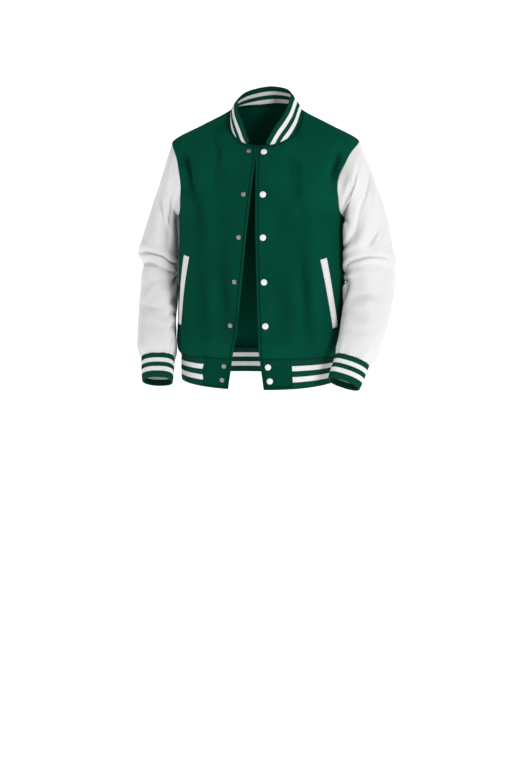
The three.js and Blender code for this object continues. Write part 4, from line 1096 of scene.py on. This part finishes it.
class JACKET_OT_body(Build, bpy.types.Operator):
    """Adds the two fronts and the back"""

    bl_idname = "jacket.body"
    bl_label = "Body"

    def execute(self, context):
        sizes = self.sizes
        neck_steps = NECK_COLUMNS["front"] * COLUMN_STEPS
        for name in ("right", "left"):
            points = front_rows(name, sizes.hem_gather)
            outwards = points if name == "left" else points[:, ::-1]
            edge, neck = outwards[:, 0], outwards[-1, : neck_steps + 1]
            edges = {"Front edge": edge, "Neck seam": neck, "Hem seam": points[0]}
            stitched = ("Front edge", "Neck seam")
            add_wool(self, "front_" + name, points, edges, stitched, ("Hem seam", "Neck seam"))
        halves = zip(half_panel(1, True), half_panel(-1, True), (360, 0, 0))
        back = [np.hstack((left[:, ::-1], right[:, 1:] + lap)) for left, right, lap in halves]
        points = cloth_points(*back, sizes.hem_gather)
        shoulder = SHOULDER_COLUMNS * COLUMN_STEPS
        neck = points[-1, shoulder : points.shape[1] - shoulder]
        edges = {"Neck seam": neck, "Hem seam": points[0]}
        add_wool(self, "back", points, edges, ("Neck seam",), ("Hem seam", "Neck seam"))
        return {"FINISHED"}


SLEEVES = {
    "right": (-1, RIGHT_SLEEVE, RIGHT_SLEEVE_FOLDS, RIGHT_CUFF_END),
    "left": (1, LEFT_SLEEVE, LEFT_SLEEVE_FOLDS, LEFT_CUFF_END),
}


def metre_map(points):
    """A map of lengths across and up a grid of points."""
    return np.stack((arc(points), arc(points.swapaxes(0, 1)).T), axis=-1)


class JACKET_OT_sleeves(Build, bpy.types.Operator):
    """Adds the two leather sleeves"""

    bl_idname = "jacket.sleeves"
    bl_label = "Sleeves"

    def execute(self, context):
        finish = leather_finish("Sleeve leather", self.colours.leather)
        for name, (side, table, folds, _) in SLEEVES.items():
            points, _ = sleeve_form(side, table, folds, self.sizes.wrist_gather)
            # The Hollow map feeds the painted shade in the sleeves' creases
            maps = {"Hollow": hollow_map(points, True)}
            piece = grid_object("leather_sleeve_" + name, points, maps, closed=True)
            give_wall(piece, self.sizes.leather_wall, 0)
            dress(piece, "sleeve_" + name, finish)
        return {"FINISHED"}


def rib_columns(length, pitch):
    """An even count of ribs for a length, and the fine columns over them in ribs."""
    ribs = 2 * round(length / pitch / 2)
    return ribs, np.arange(ribs * RIB_STEPS + 1) / RIB_STEPS


def swell(t):
    """How far the rib stands out between its two edges."""
    return RIB_SWELL * np.sin(np.pi * t) ** SWELL_POWER


def rib_maps(points, ribs, share):
    """The maps Knit, in metres, and Stripes, in ribs across and the given shares up."""
    across, up = np.broadcast_arrays(ribs, share, points[..., 0])[:2]
    return {"Knit": metre_map(points), "Stripes": np.stack((across, up), axis=-1)}


class JACKET_OT_cuffs(Build, bpy.types.Operator):
    """Adds the two striped rib cuffs"""

    bl_idname = "jacket.cuffs"
    bl_label = "Cuffs"

    def execute(self, context):
        sizes, colours = self.sizes, self.colours
        finish = rib_finish("Cuff rib", colours.rib, colours.stripe, CUFF_STRIPES)
        for name, (side, table, folds, end) in SLEEVES.items():
            _, ring = sleeve_form(side, table, folds, 0)
            closed_ring = np.vstack((ring, ring[:1]))
            girth = lengths_along(closed_ring)[-1]
            _, column = rib_columns(girth, sizes.rib_pitch)
            turned = np.linspace(0, 360, len(closed_ring))[:, None]
            places = np.linspace(0, girth, len(column))
            chain = even_along(np.hstack((closed_ring, turned)), places)
            free = ring_points(end, side, -chain[:, 3] if side > 0 else chain[:, 3])
            top = chain[:, :3] - unit(free - chain[:, :3]) * RIB_LAP
            t = np.linspace(0, 1, RIB_ROWS + 1)[:, None, None]
            plain = lerp(free, top, t)
            normals = grid_normals(plain[:, :-1], True)
            normals = np.concatenate((normals, normals[:, :1]), axis=1)
            relief = rib_relief(column, sizes.rib_relief) + swell(t[..., 0])
            points = plain + normals * relief[..., None]
            maps = rib_maps(points, column, 1 - t[..., 0])
            piece = grid_object("rib_cuff_" + name, points[:, :-1], maps, closed=True)
            give_wall(piece, sizes.rib_wall, 0)
            dress(piece, "cuff_" + name, finish)
        return {"FINISHED"}


def hem_chain():
    """The body's hem from the left front edge round the back to the right, as points with their
    turns, and its length."""
    front_left = front_edge_turn(1, HEM_SEAM_Z)
    front_right = front_edge_turn(-1, HEM_SEAM_Z)
    turns = np.linspace(front_left, 360 + front_right, HEM_STEPS + 1)
    chain = np.column_stack((torso(turns, np.full_like(turns, HEM_SEAM_Z)), turns))
    return chain, lengths_along(chain[:, :3])[-1]


def swing(turn, z):
    """How far the front edges swing from the hem seam down, in degrees, fading to the side."""
    reach = np.clip(1 - np.abs(turn) / SWING_REACH, 0, 1)
    moved = 0
    for side in (1, -1):
        change = front_edge_turn(side, z) - front_edge_turn(side, np.array(HEM_SEAM_Z))
        moved = moved + np.where(side * turn > 0, change, 0)
    return moved * reach


def band_form(chain, places, rows):
    """Part of the hem band at places along the hem: its points, and its rows' shares up."""
    cells = even_along(chain, places)
    turn = (cells[:, 3] + 180) % 360 - 180
    front = np.maximum(0, np.cos(np.radians(turn)))
    bottom = HEM_SEAM_Z - BAND_HEIGHT - BAND_FRONT_DROP * front**2
    t = np.linspace(0, 1, rows + 1)[:, None]
    z = lerp(bottom, HEM_SEAM_Z, t)
    moved = turn + swing(turn, z)
    seam = cells[:, :3] + np.array((0, 0, RIB_LAP))
    offset = seam - torso(turn, np.full_like(turn, HEM_SEAM_Z))
    return torso(moved, z) + offset * t[..., None], t


class JACKET_OT_hem(Build, bpy.types.Operator):
    """Adds the striped hem rib and the two wool blocks at its ends"""

    bl_idname = "jacket.hem"
    bl_label = "Hem"

    def execute(self, context):
        sizes, colours = self.sizes, self.colours
        chain, total = hem_chain()
        inner = BLOCK_WIDTH - SEAM_LAP
        ribs, column = rib_columns(total - 2 * inner, sizes.rib_pitch)
        plain, t = band_form(chain, np.linspace(inner, total - inner, len(column)), RIB_ROWS)
        ends = np.clip(np.minimum(column, ribs - column) / HEM_RIB_FADE, 0, 1)
        relief = (rib_relief(column, sizes.rib_relief) + swell(t)) * ends
        points = plain + grid_normals(plain, False) * relief[..., None]
        piece = grid_object("rib_hem", points, rib_maps(points, column, 1 - t))
        give_wall(piece, sizes.rib_wall, 0)
        length = float(metre_map(points)[..., 0].max())
        finish = rib_finish("Hem rib", colours.rib, colours.stripe, HEM_STRIPES, length)
        dress(piece, "hem_rib", finish)
        for name, first, last in (
            ("left", 0, BLOCK_WIDTH),
            ("right", total - BLOCK_WIDTH, total),
        ):
            points, _ = band_form(chain, np.linspace(first, last, BLOCK_STEPS + 1), BLOCK_STEPS)
            edge, join = (points[:, 0], points[:, -1])[:: 1 if name == "left" else -1]
            edges = {"Front edge": edge, "Lower edge": points[0]}
            edges.update({"Rib seam": join, "Hem seam": points[-1]})
            stitched, joined = ("Front edge", "Lower edge"), ("Rib seam", "Hem seam")
            add_wool(self, "hem_block_" + name, points, edges, stitched, joined, shade_folds=False)
        return {"FINISHED"}


def neck_chain():
    """The neck seam from the left front edge round the back to the right one."""
    rows = {}
    for behind in (False, True):
        for side in (1, -1):
            turn, z, _ = half_panel(side, behind)
            neck = NECK_COLUMNS["back" if behind else "front"] * COLUMN_STEPS
            rows[side, behind] = torso(turn[-1, : neck + 1], z[-1, : neck + 1])
    left, right = rows[1, False], rows[-1, False]
    back_left, back_right = rows[1, True][::-1], rows[-1, True]
    return np.vstack((left[:-1], back_left[:-1], back_right[:-1], right[::-1]))


class JACKET_OT_collar(Build, bpy.types.Operator):
    """Adds the striped rib collar"""

    bl_idname = "jacket.collar"
    bl_label = "Collar"

    def execute(self, context):
        sizes, colours = self.sizes, self.colours
        chain = neck_chain()
        ways = lengths_along(chain)
        first = ways[np.argmax(chain[:, 0] >= COLLAR_ENDS["left"])]
        last = ways[len(chain) - 1 - np.argmax(chain[::-1, 0] <= COLLAR_ENDS["right"])]
        ribs, column = rib_columns(last - first, sizes.rib_pitch)
        base = even_along(chain, np.linspace(first, last, len(column)))
        share = 1 - np.abs(1 - 2 * column / ribs)
        left = np.stack(row_at(LEFT_COLLAR_EDGE, share), axis=-1)
        right = np.stack(row_at(RIGHT_COLLAR_EDGE, share), axis=-1)
        top = np.where((column < ribs / 2)[:, None], left, right)
        base = base - unit(top - base) * RIB_LAP
        t = np.linspace(0, 1, RIB_ROWS + 1)[:, None]
        outward = unit(base * np.array((1, 1, 0)))
        bulge = COLLAR_BULGE * np.sin(np.pi * t) * np.minimum(1, share / COLLAR_END_SHARE)
        plain = lerp(base, top, t[..., None]) + outward * bulge[..., None]
        relief = np.broadcast_to(rib_relief(column, sizes.rib_relief), plain.shape[:2])
        points = plain + grid_normals(plain, False) * relief[..., None]
        height = np.linalg.norm(top - base, axis=1)
        stripe_share = (1 - t) * height / COLLAR_STRIPE_SPAN
        piece = grid_object("rib_collar", points, rib_maps(points, column, stripe_share))
        give_wall(piece, sizes.rib_wall, 0)
        finish = rib_finish("Collar rib", colours.rib, colours.stripe, COLLAR_STRIPES)
        dress(piece, "collar_rib", finish)
        return {"FINISHED"}


def on_cloth(points, z, inset):
    """A place on a grid and the way off it, by its height and the way in from its first column."""
    edge_z = points[:, 0, 2]
    i = int(np.clip(np.searchsorted(edge_z, z) - 1, 0, len(points) - 2))
    t = (z - edge_z[i]) / (edge_z[i + 1] - edge_z[i])
    row = lerp(points[i], points[i + 1], t)
    place = even_along(row, np.array([inset]))[0]
    near = int(np.argmin(np.linalg.norm(row - place, axis=1)))
    across = row[near + 2] - row[near - 2]
    up = points[min(i + 2, len(points) - 1), near] - points[max(i - 1, 0), near]
    normal = unit(np.cross(across, up))
    return place, normal if normal[1] < 0 else -normal


def lathed(name, profile, place, normal):
    """A round piece spun from its profile of radius and height, standing off a place."""
    shape = bmesh.new()
    line = [shape.verts.new((radius, 0, height)) for radius, height in profile]
    edges = [shape.edges.new(pair) for pair in zip(line, line[1:])]
    bmesh.ops.spin(
        shape,
        geom=line + edges,
        cent=(0, 0, 0),
        axis=(0, 0, 1),
        angle=math.tau,
        steps=LATHE_STEPS,
        use_merge=True,
    )
    bmesh.ops.remove_doubles(shape, verts=shape.verts, dist=MERGE_DISTANCE)
    bmesh.ops.recalc_face_normals(shape, faces=shape.faces)
    turn = Vector((0, 0, 1)).rotation_difference(Vector(normal)).to_matrix().to_4x4()
    bmesh.ops.transform(shape, matrix=Matrix.Translation(Vector(place)) @ turn, verts=shape.verts)
    return finished(name, shape)


# Profiles of a snap's cap and stud, as radius and height
CAP_PROFILE = (
    (0, 0),
    (0.0070, 0),
    (0.0076, 0.0003),
    (0.0078, 0.0008),
    (0.0077, 0.0013),
    (0.0073, 0.0018),
    (0.0064, 0.0023),
    (0.0050, 0.0027),
    (0.0032, 0.0030),
    (0.0015, 0.0031),
    (0, 0.0031),
)
STUD_PROFILE = (
    (0, 0),
    (0.0054, 0),
    (0.0058, 0.0003),
    (0.0058, 0.0008),
    (0.0054, 0.0011),
    (0.0046, 0.0011),
    (0.0042, 0.0008),
    (0.0036, 0.0008),
    (0.0031, 0.0011),
    (0.0024, 0.0013),
    (0.0021, 0.0018),
    (0.0022, 0.0024),
    (0.0021, 0.0029),
    (0.0017, 0.0032),
    (0.0009, 0.0033),
    (0, 0.0033),
)
SNAP_SEAT = 0.0003


class JACKET_OT_snaps(Build, bpy.types.Operator):
    """Adds the snaps' caps on the left front and their studs on the right front"""

    bl_idname = "jacket.snaps"
    bl_label = "Snaps"

    def execute(self, context):
        sizes, colours = self.sizes, self.colours
        chain, total = hem_chain()
        cap, stud = cap_finish("Cap enamel", colours.cap), metal_finish("Stud metal", colours.metal)
        fronts = {name: front_rows(name, sizes.hem_gather) for name in ("left", "right")}
        fronts["right"] = fronts["right"][:, ::-1]
        blocks = {
            name: band_form(chain, np.linspace(first, last, BLOCK_STEPS + 1), BLOCK_STEPS)[0]
            for name, first, last in (("left", 0, BLOCK_WIDTH), ("right", total, total - BLOCK_WIDTH))
        }
        for k, z in enumerate(SNAP_HEIGHTS, start=1):
            grids = blocks if z < HEM_SEAM_Z else fronts
            for name, kind, profile, finish, slot in (
                ("left", "cap", CAP_PROFILE, cap, "snap_white"),
                ("right", "stud", STUD_PROFILE, stud, "stud_metal"),
            ):
                place, normal = on_cloth(grids[name], z, SNAP_INSET)
                piece = lathed(f"{kind}_{k}", profile, place + normal * SNAP_SEAT, normal)
                dress(piece, f"snap_{kind}_{k}", finish)
        return {"FINISHED"}


# A welt's cross-section: offsets from its middle as shares of its width, and its rises
WELT_SECTION = (
    (-0.50, 0.0008),
    (-0.50, 0.0020),
    (-0.475, 0.0027),
    (-0.42, 0.0031),
    (-0.37, 0.0028),
    (-0.30, 0.0032),
    (0, 0.0035),
    (0.30, 0.0032),
    (0.37, 0.0028),
    (0.42, 0.0031),
    (0.475, 0.0027),
    (0.50, 0.0020),
    (0.50, 0.0008),
)
WELT_WALL = 0.0014
WELT_STITCH_INSET = 0.0035
WELT_END_RISE = 0.8
WELT_AHEAD = 0.01


class JACKET_OT_welts(Build, bpy.types.Operator):
    """Adds the leather welts of the two side pockets"""

    bl_idname = "jacket.welts"
    bl_label = "Pocket welts"

    def execute(self, context):
        seams = (("Welt edge", WELT_STITCH_INSET),)
        finish = leather_finish("Welt leather", self.colours.leather, seams)
        offset, rise = np.array(WELT_SECTION).T
        offset = offset * WELT_WIDTH
        for name, (turn0, z0, turn1, z1) in WELTS.items():
            t = np.linspace(1, 0, WELT_STEPS + 1)[:, None]
            turn, z = lerp(turn0, turn1, t), lerp(z0, z1, t)
            here = torso(turn, z)
            ahead = torso(turn + WELT_AHEAD * (turn1 - turn0), z + WELT_AHEAD * (z1 - z0))
            across = unit(np.cross(torso_normal(turn, z), unit(ahead - here)))
            x = here[..., 0] - across[..., 0] * offset
            level = z - across[..., 2] * offset
            on = turn_of(x, level)
            inside = np.clip(np.minimum(t, 1 - t) * WELT_STEPS / 2, 0, 1)
            ends = lerp(WELT_END_RISE, 1, inside)
            points = torso(on, level) + torso_normal(on, level) * (rise * ends)[..., None]
            if points[0, 0, 0] > points[0, -1, 0]:
                points = points[:, ::-1]
            edge = np.minimum(offset - offset.min(), offset.max() - offset) + 0 * t
            length_up = arc(points.swapaxes(0, 1)).T
            maps = {"Welt edge": np.stack((length_up, edge), axis=-1)}
            piece = grid_object("leather_welt_" + name, points, maps)
            give_wall(piece, WELT_WALL, 0)
            dress(piece, "pocket_welt_" + name, finish)
        return {"FINISHED"}


def area_light(name, power, size, place, colour):
    """A large soft lamp that faces the chest."""
    lamp = bpy.data.lights.new(name, "AREA")
    lamp.energy = power
    lamp.shape = "RECTANGLE"
    lamp.size, lamp.size_y = size
    lamp.color = colour
    holder = bpy.data.objects.new(name, lamp)
    holder.location = place
    holder.rotation_mode = "QUATERNION"
    holder.rotation_quaternion = (Vector(LIGHT_AIM) - Vector(place)).to_track_quat("-Z", "Y")
    bpy.context.scene.collection.objects.link(holder)


def floor_sweep():
    """A floor that curves up into a backdrop behind the jacket."""
    shape = bmesh.new()
    corner = shape.verts.new((-FLOOR_HALF, SWEEP_Y, FLOOR_Z))
    bend = bmesh.ops.spin(
        shape,
        geom=[corner],
        cent=(-FLOOR_HALF, SWEEP_Y, FLOOR_Z + SWEEP_RADIUS),
        axis=(1, 0, 0),
        angle=math.pi / 2,
        steps=SWEEP_STEPS,
    )
    wall_end = shape.verts.new(bend["geom_last"][0].co + Vector((0, 0, BACKDROP_HEIGHT)))
    shape.edges.new((bend["geom_last"][0], wall_end))
    shape.edges.new((shape.verts.new((-FLOOR_HALF, -FLOOR_HALF, FLOOR_Z)), corner))
    across = bmesh.ops.extrude_edge_only(shape, edges=shape.edges[:])
    moved = [item for item in across["geom"] if isinstance(item, bmesh.types.BMVert)]
    bmesh.ops.translate(shape, vec=(2 * FLOOR_HALF, 0, 0), verts=moved)
    bmesh.ops.remove_doubles(shape, verts=shape.verts, dist=MERGE_DISTANCE)
    bmesh.ops.recalc_face_normals(shape, faces=shape.faces)
    return finished("floor", shape)


class JACKET_OT_stage(Build, bpy.types.Operator):
    """Adds the floor, the lights and the camera"""

    bl_idname = "jacket.stage"
    bl_label = "Stage"

    def execute(self, context):
        scene = context.scene
        studio = scene.jacket_studio
        floor = floor_sweep()
        floor.data.materials.append(floor_finish("Floor paper", self.colours.floor))
        world = bpy.data.worlds.new("Studio")
        world.use_nodes = True
        background = world.node_tree.nodes["Background"]
        background.inputs["Color"].default_value = (1, 1, 1, 1)
        background.inputs["Strength"].default_value = studio.sky
        scene.world = world
        for name, lamp in LAMPS.items():
            area_light(name.capitalize(), getattr(studio, name), **lamp)
        lens = bpy.data.cameras.new("Camera")
        lens.lens = CAMERA_LENS
        lens.sensor_width = SENSOR
        lens.clip_end = VIEW_END
        camera = bpy.data.objects.new("Camera", lens)
        camera.location = CAMERA_PLACE
        camera.rotation_euler = (
            math.radians(90 - CAMERA_PITCH),
            0,
            math.radians(CAMERA_AZIMUTH),
        )
        scene.collection.objects.link(camera)
        scene.camera = camera
        scene.view_settings.view_transform = "Standard"
        return {"FINISHED"}


OPERATORS = (
    JACKET_OT_body,
    JACKET_OT_sleeves,
    JACKET_OT_cuffs,
    JACKET_OT_hem,
    JACKET_OT_collar,
    JACKET_OT_snaps,
    JACKET_OT_welts,
    JACKET_OT_stage,
)


class JACKET_PT_panel(bpy.types.Panel):
    """The jacket's settings and operators"""

    bl_label = "Varsity jacket"
    bl_space_type = "VIEW_3D"
    bl_region_type = "UI"
    bl_category = "Jacket"

    def draw(self, context):
        scene = context.scene
        for group in (scene.jacket_sizes, scene.jacket_colours, scene.jacket_studio):
            box = self.layout.box()
            for key in group.__annotations__:
                box.prop(group, key)
        for operator in OPERATORS:
            self.layout.operator(operator.bl_idname)


GROUPS = {
    "jacket_sizes": JacketSizes,
    "jacket_colours": JacketColours,
    "jacket_studio": JacketStudio,
}


def register():
    for kind in (*GROUPS.values(), *OPERATORS, JACKET_PT_panel):
        bpy.utils.register_class(kind)
    for name, group in GROUPS.items():
        setattr(bpy.types.Scene, name, bpy.props.PointerProperty(type=group))


def unregister():
    for name in GROUPS:
        delattr(bpy.types.Scene, name)
    for kind in reversed((*GROUPS.values(), *OPERATORS, JACKET_PT_panel)):
        bpy.utils.unregister_class(kind)


def main():
    register()
    for operator in OPERATORS:
        group, name = operator.bl_idname.split(".")
        getattr(getattr(bpy.ops, group), name)()


if __name__ == "__main__":
    main()
